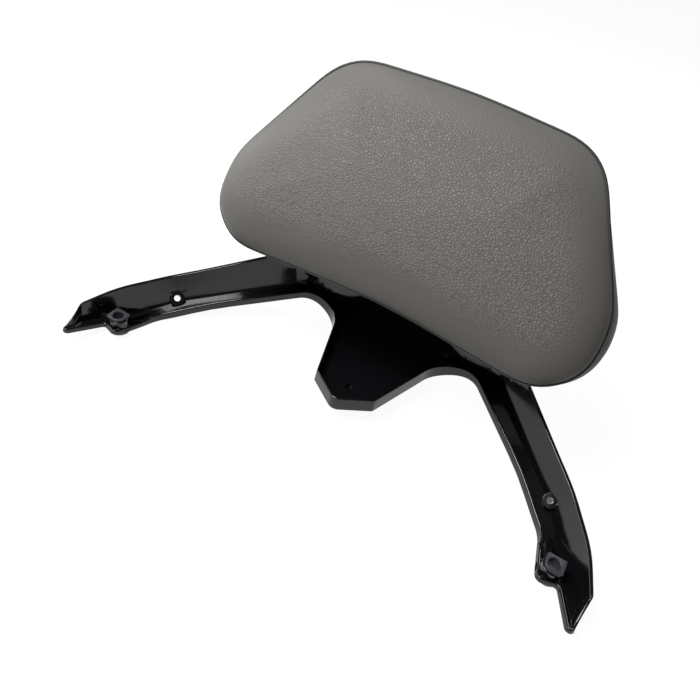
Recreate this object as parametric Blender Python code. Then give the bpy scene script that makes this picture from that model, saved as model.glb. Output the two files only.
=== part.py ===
"""Passenger backrest for a large scooter: a cast tray bracket that carries an upholstered pad.

The frame: +X to the rider's right, -Y forward, +Z up. The bracket's two arms point forward.
Sizes are drawn from a point on the middle plane under the arms' knees, and the finished pieces
hang on an empty that puts the origin on the tongue's underside, where the bracket is seated.
The pad has a frame of its own: u across, v up the pad and w out of its front, from the foot of
its seam plane.
"""
import math

import bmesh
import bpy
from mathutils import Matrix, Vector, geometry

MM = 0.001
GAP = 0.3 * MM
SOFT_GAP = 0.4 * MM

# Bracket plan, right half: the outline's corners and their radii
TIP = (220.8 * MM, -53.8 * MM)
TIP_RADIUS = 3.6 * MM
NOSE_Y = 22.5 * MM
NOSE_RADIUS = 9 * MM
TONGUE_CORNER = (28 * MM, 41.5 * MM)
TONGUE_CORNER_RADIUS = 4 * MM
GAP_VERTEX = (59.5 * MM, 140 * MM)
GAP_RADIUS = 27 * MM
ARM_INNER_BEND = (150 * MM, 59.5 * MM)
ARM_INNER_BEND_RADIUS = 260 * MM
ARM_KNEE = (181.8 * MM, 22.5 * MM)
ARM_KNEE_RADIUS = 26 * MM
EAR_FRONT = (189 * MM, -18 * MM)
EAR_RADIUS = 5.5 * MM
NOTCH = (204.5 * MM, -13.5 * MM)
NOTCH_RADIUS = 2.4 * MM
SHOULDER = (225 * MM, -17 * MM)
SHOULDER_RADIUS = 9 * MM
ARM_OUTER_FRONT = (215.5 * MM, 14 * MM)
ARM_OUTER_FRONT_RADIUS = 110 * MM
ARM_OUTER_MIDDLE = (189.5 * MM, 55 * MM)
ARM_OUTER_MIDDLE_RADIUS = 110 * MM
REAR_CORNER = (105 * MM, 136 * MM)
REAR_CORNER_RADIUS = 26 * MM
PLAN_STEP = 17 * MM
FLOOR_GRID = 26 * MM

# Bracket walls
FLOOR_THICKNESS = 3 * MM
OUTER_WALL = 3.8 * MM
INNER_WALL = 2.8 * MM
WALL_DRAFT = 0.7 * MM
RIM_ROUND = 0.9 * MM
RIM_INNER_ROUND = 0.54 * MM
UNDERSIDE_ROUND = 1.3 * MM
FOOT_FILLET = 1.6 * MM
FLANK_RUN = 8 * MM
REAR_FLANK_RUN = 5 * MM
SHOULDER_FLANK_RUN = 3.2 * MM
FLANK_KNEE_RUN = 0.75
FLANK_KNEE_RISE = 0.22

# Bracket heights
TONGUE_UNDERSIDE = 14 * MM
TONGUE_DEPTH = 12.5 * MM
INNER_LIP_DEPTH = 6.6 * MM
EAR_LEDGE_DEPTH = 4.6 * MM
KNEE_Y = 22 * MM
KNEE_UNDERSIDE = 0.6 * MM
KNEE_BLEND = 9 * MM
REAR_SLOPE = 0.25
FRONT_SLOPE = 0.185
RIM_BEND_Y = 58 * MM
RIM_BEND_HEIGHT = 33.2 * MM
RIM_BEND_BLEND = 10 * MM
RIM_FRONT_SLOPE = 0.085
RIM_REAR_SLOPE = 0.37
TONGUE_EDGE_X = 44 * MM
ARM_EDGE_X = 92 * MM
LEDGE_START_Y = 22 * MM
LEDGE_END_Y = 12 * MM

# Bosses and holes in the bracket
NUT_PLACE = (196.5 * MM, -4.8 * MM)
NUT_BOSS_TOP = 17.4 * MM
NUT_BOSS_RADIUS = 7.8 * MM
NUT_BOSS_FILLET = 2.4 * MM
NUT_BOSS_FLARE = 10.2 * MM
NUT_BOSS_SINK = 1 * MM
NUT_FOOT_RADIUS = 9.2 * MM
NUT_FOOT_LEVEL = 4.6 * MM
NUT_BORE_RADIUS = 4.4 * MM
NUT_BARREL_RADIUS = 6 * MM
NUT_BARREL_LENGTH = 6.5 * MM
NUT_FLANGE_THICKNESS = 2.4 * MM
NUT_FLANGE_FRONT = 6.8 * MM
NUT_FLANGE_BACK = 7 * MM
NUT_FLANGE_INNER = 6.5 * MM
NUT_FLANGE_OUTER = 7.4 * MM
NUT_SHARP_CORNER = 1 * MM
NUT_SOFT_CORNER = 2.5 * MM
NUT_ROUND_CORNER = 6.2 * MM
RIB_THICKNESS = 2 * MM
RIB_RISE = 6 * MM
RIB_ENDS = ((183.8 * MM, 15 * MM), (190 * MM, 24 * MM))
SIDE_BOSS = (180 * MM, 49.5 * MM, 13.5 * MM)
SIDE_BOSS_AXIS = (-0.5, -0.5, 0.70)
SIDE_BOSS_RADIUS = 6.6 * MM
SIDE_BOSS_BACK = 8.5 * MM
SIDE_BOSS_FRONT = 2.5 * MM
SIDE_BORE_RADIUS = 3.8 * MM
TONGUE_HOLE = (0, 51 * MM)
TONGUE_HOLE_RADIUS = 3.1 * MM
PLATE_HOLE = (48 * MM, 106 * MM)
PLATE_HOLE_RADIUS = 2.5 * MM
SEAT_PLACE = (0, 75 * MM, TONGUE_UNDERSIDE)
THROUGH = 30 * MM

# Pad: its seam lies in a plane that leans back over the bracket
PAD_ANGLE = math.radians(54)
SEAM_FOOT_Y = 63.9 * MM
SEAM_FOOT_Z = 101.5 * MM
PAD_BOTTOM = 1.3 * MM
PAD_TOP = 163.9 * MM
PAD_BOW_RADIUS = 500 * MM
PAD_BOTTOM_CORNER = (128 * MM, -5.5 * MM)
PAD_BOTTOM_CORNER_RADIUS = 36 * MM
PAD_WIDEST = (157.5 * MM, 16 * MM)
PAD_WIDEST_RADIUS = 34 * MM
PAD_SIDE_CORNER = (156.6 * MM, 58 * MM)
PAD_SIDE_CORNER_RADIUS = 50 * MM
PAD_TOP_CORNER = (101.5 * MM, 159.2 * MM)
PAD_TOP_CORNER_RADIUS = 60 * MM
PAD_STEP = 27 * MM
SPINE_HALF_LENGTH = 70 * MM
SPINE_V = 80 * MM

# Pad layers; the band's bulges and tapers are for its bottom, the three edges of its side
# from below, and its top
COVER_THICKNESS = 1.4 * MM
EDGE_ROLL = 28 * MM
EDGE_ROLL_HEIGHT = 7 * MM
CROWN_HEIGHT = 16 * MM
CROWN_REACH = 85 * MM
DOME_SHARES = (0.035, 0.12, 0.26, 0.55)
LINING_ROLL_SHARE = 1 / 3
PIPING_RADIUS = 1.2 * MM
PIPING_SIDES = 6
BAND_DEPTH = 38 * MM
BAND_BULGES = (2 * MM, 5 * MM, 8 * MM, 4.5 * MM, 0.5 * MM)
BAND_TAPERS = (3 * MM, 2 * MM, 4 * MM, 5 * MM, 7 * MM)
BAND_THICKNESS = 1.4 * MM
BAND_STATIONS = (0, 0.45, 1)
HEM_WIDTH = 12 * MM
HEM_ROUND = 2.4 * MM

# Base shell of the pad
PAN_DEPTH = 16 * MM
PAN_PLATE = 3 * MM
PAN_WALL = 3 * MM
PAN_BOSS_RADIUS = 8.5 * MM
PAN_BOSS_HEIGHT = 8 * MM
PAN_RIB_THICKNESS = 2.4 * MM
PAN_RIB_COLUMNS = (-100 * MM, 0, 100 * MM)
PAN_RIB_ROWS = (34 * MM, 138 * MM)

# Riser: the casting's upright behind the pad
RISER_THICKNESS = 6 * MM
RISER_EDGE_THICKNESS = 3 * MM
RISER_EDGE_SHARE = 0.14
RISER_BACK_INSET = 1.2 * MM
RISER_ROOT_RISE = 1.5 * MM
RISER_BEND_Z = 52 * MM
RISER_FLAT_Z = 104 * MM
RISER_CONTACT_START = 45 * MM
RISER_TOP = 130 * MM
RISER_BEND_RADIUS = 26 * MM
RISER_NECK = (104 * MM, 92 * MM)
RISER_NECK_BLEND = 8 * MM
RISER_LOWER_LEAN = 0.82
RISER_UPPER_LEAN = 0.48
RISER_TOP_CORNER = 20 * MM
RISER_TOP_ANGLES = (25, 50, 72, 90)
RISER_COLUMNS = (0.4, 0.76, 0.86, 0.93, 1)
RISER_ROW_STEP = 26 * MM
RISER_RIB_X = 22 * MM
RISER_RIB_THICKNESS = 4 * MM
RISER_RIB_DEPTH = 9 * MM
RISER_RIB_END_DEPTH = 1 * MM
RISER_RIB_ROOT_Z = 34 * MM
RISER_RIB_END_SHARE = 0.6
RISER_BOSS_RADIUS = 9 * MM
RISER_BOSS_HEIGHT = 2.5 * MM

# Pad bolts: M6 with a spring washer and a flat washer
BOLT_COLUMNS = (-44 * MM, 44 * MM)
BOLT_ROWS = (68 * MM, 108 * MM)
BOLT_RADIUS = 3 * MM
BOLT_CLEARANCE = 0.5 * MM
BOLT_HEAD_RADIUS = 5 * MM
BOLT_HEAD_HEIGHT = 5.5 * MM
BOLT_HEAD_CHAMFER = 0.5 * MM
BOLT_SOCKET_ACROSS_FLATS = 5 * MM
BOLT_SOCKET_DEPTH = 3 * MM
BOLT_LENGTH = 25 * MM
WASHER_RADIUS = 6.2 * MM
WASHER_THICKNESS = 1.2 * MM
SPRING_WASHER_RADIUS = 5.4 * MM
SPRING_WASHER_THICKNESS = 1.5 * MM
SPRING_WASHER_SPLIT = math.radians(14)
INSERT_BARREL_RADIUS = 4.6 * MM
INSERT_BARREL_LENGTH = 8 * MM
INSERT_FLANGE_RADIUS = 7.5 * MM
INSERT_FLANGE_THICKNESS = 1.4 * MM

# Facets
BORE_SIDES = 18
SMALL_SIDES = 12
FILLET_STEP = math.radians(21)
GRID_CLEAR_SHARE = 0.55
MERGE = 0.01 * MM

# Places that follow from the sizes
SEAM_CLEAR = PIPING_RADIUS + SOFT_GAP
LINING = COVER_THICKNESS + SOFT_GAP
PAN_RIM = PAN_DEPTH - BAND_DEPTH
FOAM_BACK = PAN_RIM + SOFT_GAP
PAN_FLOOR = PAN_PLATE - BAND_DEPTH
RISER_FRONT = -BAND_DEPTH - GAP
RISER_BACK = RISER_FRONT - RISER_THICKNESS
WASHER_SEAT = RISER_BACK - RISER_BOSS_HEIGHT - GAP
SPRING_SEAT = WASHER_SEAT - WASHER_THICKNESS - GAP
HEAD_SEAT = SPRING_SEAT - SPRING_WASHER_THICKNESS - GAP
INSERT_SEAT = PAN_FLOOR + PAN_BOSS_HEIGHT + GAP


# Scene and object helpers


def clear_scene():
    """Remove whatever the open file holds."""
    for item in list(bpy.data.objects):
        bpy.data.objects.remove(item, do_unlink=True)


def material(name, colour, roughness, metallic=0.0):
    """One Principled BSDF material."""
    made = bpy.data.materials.new(name)
    made.use_nodes = True
    shader = made.node_tree.nodes["Principled BSDF"]
    shader.inputs["Base Color"].default_value = (*colour, 1.0)
    shader.inputs["Roughness"].default_value = roughness
    shader.inputs["Metallic"].default_value = metallic
    made.diffuse_color = (*colour, 1.0)
    return made


def make_object(name, bm):
    """Turn a bmesh into a named object with its faces pointing out."""
    bmesh.ops.recalc_face_normals(bm, faces=bm.faces)
    mesh = bpy.data.meshes.new(name)
    bm.to_mesh(mesh)
    bm.free()
    item = bpy.data.objects.new(name, mesh)
    bpy.context.scene.collection.objects.link(item)
    return item


def weld(item):
    """Join points that coincide, drop faces of no size, and leave only triangles."""
    bm = bmesh.new()
    bm.from_mesh(item.data)
    bmesh.ops.remove_doubles(bm, verts=bm.verts, dist=MERGE)
    bmesh.ops.dissolve_degenerate(bm, edges=bm.edges, dist=MERGE)
    bmesh.ops.triangulate(bm, faces=bm.faces)
    bm.to_mesh(item.data)
    bm.free()


def finish(item, surface, smooth_angle=35, place=None):
    """Give a finished object its triangles, material, shading and place."""
    weld(item)
    item.data.materials.clear()
    item.data.materials.append(surface)
    item.data.shade_smooth()
    item.data.set_sharp_from_angle(angle=math.radians(smooth_angle))
    if place is not None:
        item.matrix_world = place
    return item


def combine(target, tool, operation):
    """Apply one exact Boolean to target and remove the tool."""
    modifier = target.modifiers.new(operation, "BOOLEAN")
    modifier.operation = operation
    modifier.solver = "EXACT"
    modifier.object = tool
    bpy.context.view_layer.update()
    evaluated = target.evaluated_get(bpy.context.evaluated_depsgraph_get())
    result = bpy.data.meshes.new_from_object(evaluated)
    target.modifiers.clear()
    target.data = result
    weld(target)
    bpy.data.objects.remove(tool, do_unlink=True)


# Curves and loops


def smooth_step(value, low, high):
    """0 at low, 1 at high, with level ends."""
    share = min(max((value - low) / (high - low), 0.0), 1.0)
    return share * share * (3 - 2 * share)


def blend_lines(value, knee, front_slope, rear_slope, blend):
    """Two straight slopes joined by a round knee; 0 on the knee's sharp corner."""
    middle = (front_slope + rear_slope) / 2
    half_turn = (rear_slope - front_slope) / 2
    return middle * (value - knee) + half_turn * math.hypot(value - knee, blend)


def turn_between(along_in, along_out):
    """Signed angle from one direction to the next."""
    return math.atan2(along_in.cross(along_out), along_in.dot(along_out))


def arc(start, along, turn, radius, steps):
    """Points of an arc that leaves start along a direction and turns by a signed angle."""
    side = Vector((-along.y, along.x)) * math.copysign(radius, turn)
    points = []
    for step in range(steps + 1):
        spoke = -side
        spoke.rotate(Matrix.Rotation(turn * step / steps, 2))
        points.append(start + side + spoke)
    return points


def corner_directions(corners, index):
    """Unit directions into and out of one corner of a closed outline."""
    before, here, after = (
        Vector(corners[(index + shift) % len(corners)][:2]) for shift in (-1, 0, 1)
    )
    return (here - before).normalized(), (after - here).normalized()


def corner_steps(corners, index):
    """How many chords one corner's fillet gets."""
    turn = turn_between(*corner_directions(corners, index))
    return max(2, round(abs(turn) / FILLET_STEP))


def edge_pieces(corners, index, edge_step):
    """How many pieces the edge after one corner is cut into."""
    here = Vector(corners[index][:2])
    after = Vector(corners[(index + 1) % len(corners)][:2])
    return max(1, round((after - here).length / edge_step))


def rounded_loop(corners, insets, edge_step):
    """Points of a closed counterclockwise outline with filleted corners.

    corners holds (x, y, radius). insets moves each edge inwards, one value for each edge or one
    for all. Loops made from the same corners have matching points, whatever their insets.
    """
    count = len(corners)
    if not hasattr(insets, "__len__"):
        insets = [insets] * count
    fillets = []
    for index in range(count):
        along_in, along_out = corner_directions(corners, index)
        turn = turn_between(along_in, along_out)
        inset_in = insets[index - 1]
        inset_out = insets[index]
        moved = (along_out * inset_in - along_in * inset_out) / math.sin(turn)
        place = Vector(corners[index][:2]) + moved
        shift = (inset_in + inset_out) / 2
        radius = max(corners[index][2] - math.copysign(shift, turn), 0.5 * MM)
        tangent = radius * math.tan(abs(turn) / 2)
        start = place - along_in * tangent
        fillets.append(arc(start, along_in, turn, radius, corner_steps(corners, index)))
    points = []
    for index in range(count):
        points += fillets[index]
        pieces = edge_pieces(corners, index, edge_step)
        finish_point = fillets[index][-1]
        next_start = fillets[(index + 1) % count][0]
        for piece in range(1, pieces):
            points.append(finish_point.lerp(next_start, piece / pieces))
    return points


def loop_stations(corners, edge_step):
    """Where each point of a rounded loop lies: its corner's number, plus its share of the edge."""
    stations = []
    for index in range(len(corners)):
        stations += [float(index)] * (corner_steps(corners, index) + 1)
        pieces = edge_pieces(corners, index, edge_step)
        stations += [index + piece / pieces for piece in range(1, pieces)]
    return stations


def mirrored(half):
    """A closed loop of corners from its right half, given counterclockwise from the bottom."""
    left = [(-x, y, radius) for x, y, radius in reversed(half) if x > 0]
    return half + left


def filleted_path(knots, radius):
    """Points of an open plane path whose inner knots are all rounded to one radius."""
    places = [Vector(knot) for knot in knots]
    path = [places[0]]
    for before, here, after in zip(places, places[1:], places[2:]):
        along_in = (here - before).normalized()
        turn = turn_between(along_in, (after - here).normalized())
        tangent = radius * math.tan(abs(turn) / 2)
        steps = max(2, round(abs(turn) / FILLET_STEP * 2))
        path += arc(here - along_in * tangent, along_in, turn, radius, steps)
    return path + [places[-1]]


def cut_long(path, longest):
    """The path with its long stretches cut into even pieces."""
    result = [path[0]]
    for before, after in zip(path, path[1:]):
        pieces = max(1, math.ceil((after - before).length / longest - 0.01))
        result += [before.lerp(after, piece / pieces) for piece in range(1, pieces + 1)]
    return result


# Solids from rings


def bridge(bm, lower, upper):
    """Quads between two closed rings of vertices."""
    count = len(lower)
    for index in range(count):
        after = (index + 1) % count
        bm.faces.new((lower[index], lower[after], upper[after], upper[index]))


def fill_ring(bm, ring, spacing=None):
    """Triangles across a level ring of vertices, with inner vertices on a square grid."""
    count = len(ring)
    border = [vertex.co.xy for vertex in ring]
    level = ring[0].co.z
    points = list(border)
    if spacing is not None:
        reach_x = round(max(abs(point.x) for point in border) / spacing)
        reach_y = round(max(abs(point.y) for point in border) / spacing)
        for column in range(-reach_x, reach_x + 1):
            for row in range(-reach_y, reach_y + 1):
                point = Vector((column * spacing, row * spacing))
                nearest = min((point - other).length for other in border)
                if nearest > GRID_CLEAR_SHARE * spacing:
                    points.append(point)
    edges = [(index, (index + 1) % count) for index in range(count)]
    places, _, triangles, origins, _, _ = geometry.delaunay_2d_cdt(points, edges, [], 1, 1e-8)
    vertices = {}
    for triangle in triangles:
        for index in triangle:
            if index in vertices:
                continue
            source = min(origins[index])
            if source < count:
                vertices[index] = ring[source]
            else:
                vertices[index] = bm.verts.new((*places[index], level))
        bm.faces.new([vertices[index] for index in triangle])


def solid_from_rings(rings, closed=False, spacing=None):
    """A bmesh through a list of rings of points; closed joins the last ring to the first."""
    bm = bmesh.new()
    made = [[bm.verts.new(point) for point in ring] for ring in rings]
    for lower, upper in zip(made, made[1:]):
        bridge(bm, lower, upper)
    if closed:
        bridge(bm, made[-1], made[0])
    else:
        fill_ring(bm, made[0], spacing)
        fill_ring(bm, made[-1], spacing)
    return bm


def loft(rings):
    """A solid through rings that each run along a front edge and come back along a rear one."""
    bm = bmesh.new()
    made = [[bm.verts.new(point) for point in ring] for ring in rings]
    for lower, upper in zip(made, made[1:]):
        bridge(bm, lower, upper)
    for ring in (made[0], made[-1]):
        last = len(ring) - 1
        for index in range(len(ring) // 2 - 1):
            opposite = last - index
            bm.faces.new((ring[index], ring[index + 1], ring[opposite - 1], ring[opposite]))
    bmesh.ops.triangulate(bm, faces=bm.faces)
    return make_object("tool", bm)


def turned(profile, sides, closed=False):
    """A bmesh turned about the Z axis from (radius, height) points."""
    rings = []
    for radius, height in profile:
        angles = [math.tau * side / sides for side in range(sides)]
        rings.append([(radius * math.cos(a), radius * math.sin(a), height) for a in angles])
    return solid_from_rings(rings, closed)


def turned_tool(profile, start, axis=(0, 0, 1), sides=BORE_SIDES):
    """A turned solid stood on a point, along an axis, for joining or cutting."""
    bm = turned(profile, sides)
    turn = Vector(axis).to_track_quat("Z", "Y").to_matrix().to_4x4()
    bm.transform(Matrix.Translation(start) @ turn)
    return make_object("tool", bm)


def drill(target, radius, start, axis=(0, 0, 1), back=THROUGH, front=THROUGH, sides=BORE_SIDES):
    """Cut a round hole through a point, along an axis."""
    combine(target, turned_tool([(radius, -back), (radius, front)], start, axis, sides), "DIFFERENCE")


def prism(outline, direction):
    """A solid from a plane closed outline of 3-D points, extruded along direction."""
    bm = bmesh.new()
    lower = [bm.verts.new(point) for point in outline]
    upper = [bm.verts.new(vertex.co + Vector(direction)) for vertex in lower]
    bm.faces.new(lower[::-1])
    bm.faces.new(upper)
    bridge(bm, lower, upper)
    bmesh.ops.triangulate(bm, faces=bm.faces)
    return make_object("tool", bm)


def block(low, high):
    """A box between two corners."""
    base = [(low[0], low[1]), (high[0], low[1]), (high[0], high[1]), (low[0], high[1])]
    return prism([(x, y, low[2]) for x, y in base], (0, 0, high[2] - low[2]))


# Bracket tray


BRACKET_EDGES = (
    "nose", "tongue", "arm_inner", "arm_inner", "ear", "ear", "tip_inner", "tip_outer",
    "shoulder", "arm_outer", "arm_outer", "rear",
)
OUTER_SHARES = (0, 0, 0, 0, 0, 0, 0, 0, 1, 1, 1, 1)
FLANKED_EDGES = {"shoulder": SHOULDER_FLANK_RUN, "arm_outer": FLANK_RUN, "rear": REAR_FLANK_RUN}


def bracket_corners():
    """Corners of the tray's plan, counterclockwise from the nose."""
    return mirrored([
        (0, NOSE_Y, NOSE_RADIUS),
        (*TONGUE_CORNER, TONGUE_CORNER_RADIUS),
        (*GAP_VERTEX, GAP_RADIUS),
        (*ARM_INNER_BEND, ARM_INNER_BEND_RADIUS),
        (*ARM_KNEE, ARM_KNEE_RADIUS),
        (*EAR_FRONT, EAR_RADIUS),
        (*NOTCH, NOTCH_RADIUS),
        (*TIP, TIP_RADIUS),
        (*SHOULDER, SHOULDER_RADIUS),
        (*ARM_OUTER_FRONT, ARM_OUTER_FRONT_RADIUS),
        (*ARM_OUTER_MIDDLE, ARM_OUTER_MIDDLE_RADIUS),
        (*REAR_CORNER, REAR_CORNER_RADIUS),
    ])


def both_sides(right_edges):
    """One value for each edge of the mirrored plan, from the right half's values."""
    return right_edges + right_edges[-2::-1]


def outer_shares(corners):
    """1 for points on the tall outer wall, 0 on the low inner rims, even in between."""
    values = list(OUTER_SHARES) + list(OUTER_SHARES[:0:-1])
    shares = []
    for station in loop_stations(corners, PLAN_STEP):
        index = int(station)
        here = values[index]
        after = values[(index + 1) % len(values)]
        shares.append(here + (after - here) * (station - index))
    return shares


def underside(x, y):
    """Height of the casting's underside."""
    arm = KNEE_UNDERSIDE + blend_lines(y, KNEE_Y, -FRONT_SLOPE, REAR_SLOPE, KNEE_BLEND)
    share = smooth_step(abs(x), TONGUE_EDGE_X, ARM_EDGE_X)
    return TONGUE_UNDERSIDE + (arm - TONGUE_UNDERSIDE) * share


def outer_rim(y):
    """Height of the rim along the arms' outer wall."""
    rise = blend_lines(y, RIM_BEND_Y, RIM_FRONT_SLOPE, RIM_REAR_SLOPE, RIM_BEND_BLEND)
    return RIM_BEND_HEIGHT + rise


def inner_depth(x, y):
    """Height of the inner rim above the underside."""
    ledge = 1 - smooth_step(y, LEDGE_END_Y, LEDGE_START_Y) if abs(x) > ARM_EDGE_X else 0.0
    lip = INNER_LIP_DEPTH + (EAR_LEDGE_DEPTH - INNER_LIP_DEPTH) * ledge
    share = smooth_step(abs(x), TONGUE_EDGE_X, ARM_EDGE_X)
    return TONGUE_DEPTH + (lip - TONGUE_DEPTH) * share


def build_tray():
    """The casting's tray: floor, drafted walls and rounded rims, in one closed skin."""
    corners = bracket_corners()
    walls = both_sides([
        OUTER_WALL if kind in FLANKED_EDGES else INNER_WALL for kind in BRACKET_EDGES
    ])
    runs = both_sides([FLANKED_EDGES.get(kind, FOOT_FILLET) for kind in BRACKET_EDGES])
    depths = []
    for point, share in zip(rounded_loop(corners, 0.0, PLAN_STEP), outer_shares(corners)):
        inner = inner_depth(point.x, point.y)
        outer = outer_rim(point.y) - underside(point.x, point.y)
        depths.append(inner + (outer - inner) * share)

    def ring(wall_share, run_share, extra, height):
        insets = [
            wall * wall_share + run * run_share + extra for wall, run in zip(walls, runs)
        ]
        loop = rounded_loop(corners, insets, PLAN_STEP)
        return [(point.x, point.y, height(depth)) for point, depth in zip(loop, depths)]

    bm = solid_from_rings([
        ring(0, 0, UNDERSIDE_ROUND, lambda depth: 0.0),
        ring(0, 0, 0, lambda depth: UNDERSIDE_ROUND),
        ring(0, 0, WALL_DRAFT, lambda depth: depth - RIM_ROUND),
        ring(0, 0, WALL_DRAFT + RIM_ROUND, lambda depth: depth),
        ring(1, 0, -RIM_INNER_ROUND, lambda depth: depth),
        ring(1, 0, 0, lambda depth: depth - RIM_INNER_ROUND),
        ring(1, FLANK_KNEE_RUN, 0,
             lambda depth: FLOOR_THICKNESS + FLANK_KNEE_RISE * (depth - FLOOR_THICKNESS)),
        ring(1, 1, 0, lambda depth: FLOOR_THICKNESS),
    ], spacing=FLOOR_GRID)
    for vertex in bm.verts:
        vertex.co.z += underside(vertex.co.x, vertex.co.y)
    return make_object("bracket_casting", bm)


# Bracket riser


def pad_matrix():
    """From the pad's own frame to the world."""
    up = Vector((0, math.cos(PAD_ANGLE), math.sin(PAD_ANGLE)))
    front = Vector((0, -math.sin(PAD_ANGLE), math.cos(PAD_ANGLE)))
    turn = Matrix(((1, up.x, front.x), (0, up.y, front.y), (0, up.z, front.z))).to_4x4()
    return Matrix.Translation((0, SEAM_FOOT_Y, SEAM_FOOT_Z)) @ turn


PAD_TO_WORLD = pad_matrix()
PAD_AXIS = PAD_TO_WORLD.to_3x3() @ Vector((0, 0, 1))


def on_pad(u, v, w):
    """World place of a point given in the pad's frame."""
    return PAD_TO_WORLD @ Vector((u, v, w))


def side_view(v, w):
    """(y, z) of a point given in the pad's frame."""
    return on_pad(0, v, w).yz


def riser_path():
    """The riser's back face in side view, from the tray's floor to the riser's top."""
    back_y = REAR_CORNER[1] - RISER_BACK_INSET
    knots = [
        (back_y, TONGUE_UNDERSIDE + RISER_ROOT_RISE),
        (back_y, RISER_BEND_Z),
        side_view(RISER_CONTACT_START, RISER_BACK),
        side_view(RISER_TOP - RISER_TOP_CORNER, RISER_BACK),
    ]
    path = cut_long(filleted_path(knots, RISER_BEND_RADIUS), RISER_ROW_STEP)
    for angle in RISER_TOP_ANGLES:
        reach = RISER_TOP_CORNER * math.sin(math.radians(angle))
        path.append(side_view(RISER_TOP - RISER_TOP_CORNER + reach, RISER_BACK))
    return path


def riser_half_length(place):
    """Half of the riser's width, measured along its section, at one place of its path."""
    half, level = RISER_NECK
    above = max(place.y, RISER_BEND_Z)
    half += blend_lines(above, level, -RISER_LOWER_LEAN, -RISER_UPPER_LEAN, RISER_NECK_BLEND)
    corner = place - Vector(side_view(RISER_TOP - RISER_TOP_CORNER, RISER_BACK))
    along = Vector((math.cos(PAD_ANGLE), math.sin(PAD_ANGLE)))
    rise = min(max(corner.dot(along) / RISER_TOP_CORNER, 0), 1)
    return half - RISER_TOP_CORNER * (1 - math.sqrt(1 - rise * rise))


def riser_curl(length):
    """(x, forward) of a point along the rear wall's bend, for a length from the middle."""
    arm = Vector(ARM_OUTER_MIDDLE) - Vector(REAR_CORNER)
    turn = math.atan2(-arm.y, arm.x)
    centre_x = REAR_CORNER[0] - REAR_CORNER_RADIUS * math.tan(turn / 2)
    radius = REAR_CORNER_RADIUS - RISER_BACK_INSET
    bent = min(max(length - centre_x, 0) / radius, turn)
    beyond = max(length - centre_x - radius * turn, 0)
    x = min(length, centre_x) + radius * math.sin(bent) + beyond * math.cos(turn)
    forward = radius * (1 - math.cos(bent)) + beyond * math.sin(turn)
    return x, forward


def build_riser():
    """The upright behind the pad: it grows out of the rear wall and bends flat against the pan."""
    shares = [-share for share in reversed(RISER_COLUMNS)] + [0] + list(RISER_COLUMNS)
    path = riser_path()
    backs = []
    for place in path:
        half = riser_half_length(place)
        flat = smooth_step(place.y, RISER_BEND_Z, RISER_FLAT_Z)
        height_share = min((place.y - path[0].y) / (RISER_BEND_Z - path[0].y), 1)
        row = []
        for share in shares:
            length = abs(share) * half
            x, forward = riser_curl(length)
            x += (length - x) * flat
            point = Vector((math.copysign(x, share), place.x - forward * (1 - flat), place.y))
            root = underside(point.x, point.y) + RISER_ROOT_RISE
            point.z += (root - path[0].y) * (1 - height_share)
            row.append(point)
        backs.append(row)
    fronts = []
    last_row = len(path) - 1
    last_column = len(shares) - 1
    for index, row in enumerate(backs):
        front = []
        for column, point in enumerate(row):
            across = row[min(column + 1, last_column)] - row[max(column - 1, 0)]
            up = backs[min(index + 1, last_row)][column] - backs[max(index - 1, 0)][column]
            normal = across.cross(up).normalized()
            full = smooth_step(1 - abs(shares[column]), 0, RISER_EDGE_SHARE)
            thickness = RISER_EDGE_THICKNESS
            thickness += (RISER_THICKNESS - RISER_EDGE_THICKNESS) * full
            front.append(point + normal * thickness)
        fronts.append(front)
    return loft([front + back[::-1] for front, back in zip(fronts, backs)])


def riser_rib(x):
    """One upright rib on the riser's back."""
    path = [place for place in riser_path() if place.y > RISER_RIB_ROOT_Z][:-1]
    path[-1] = path[-2].lerp(path[-1], RISER_RIB_END_SHARE)
    half = RISER_RIB_THICKNESS / 2
    rings = []
    for index, place in enumerate(path):
        share = index / (len(path) - 1)
        along = (path[min(index + 1, len(path) - 1)] - path[max(index - 1, 0)]).normalized()
        behind = Vector((along.y, -along.x))
        swell = math.sqrt(max(math.sin(math.pi * share), 0))
        depth = RISER_RIB_DEPTH * swell + RISER_RIB_END_DEPTH
        front = place - behind * RISER_EDGE_THICKNESS
        back = place + behind * depth
        rings.append([
            (x - half, *front), (x + half, *front), (x + half, *back), (x - half, *back),
        ])
    return loft(rings)


# Bracket bosses, ribs and holes


def add_nut_boss(casting, side):
    """The stepped boss on one ear, its foot below, and the two ribs that run back from it."""
    x = side * NUT_PLACE[0]
    y = NUT_PLACE[1]
    ledge = underside(x, y) + FLOOR_THICKNESS
    combine(casting, turned_tool([
        (NUT_FOOT_RADIUS, NUT_FOOT_LEVEL),
        (NUT_FOOT_RADIUS, ledge - NUT_BOSS_SINK),
        (NUT_BOSS_FLARE, ledge),
        (NUT_BOSS_RADIUS, ledge + NUT_BOSS_FILLET),
        (NUT_BOSS_RADIUS, NUT_BOSS_TOP),
    ], (x, y, 0)), "UNION")
    for end_x, end_y in RIB_ENDS:
        start = Vector((x, y))
        finish_point = Vector((side * end_x, end_y))
        along = (finish_point - start).normalized()
        half = Vector((-along.y, along.x)) * RIB_THICKNESS / 2
        start += along * (NUT_BARREL_RADIUS + GAP + RIB_THICKNESS / 2)
        outline = []
        for place, rise in ((start, RIB_RISE), (finish_point, FLOOR_THICKNESS)):
            low = underside(*place) + FLOOR_THICKNESS / 2
            outline.append(((*(place - half), low), (*(place - half), low + rise)))
        (near_low, near_high), (far_low, far_high) = outline
        combine(casting, prism([near_low, far_low, far_high, near_high], (*(half * 2), 0)), "UNION")


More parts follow.
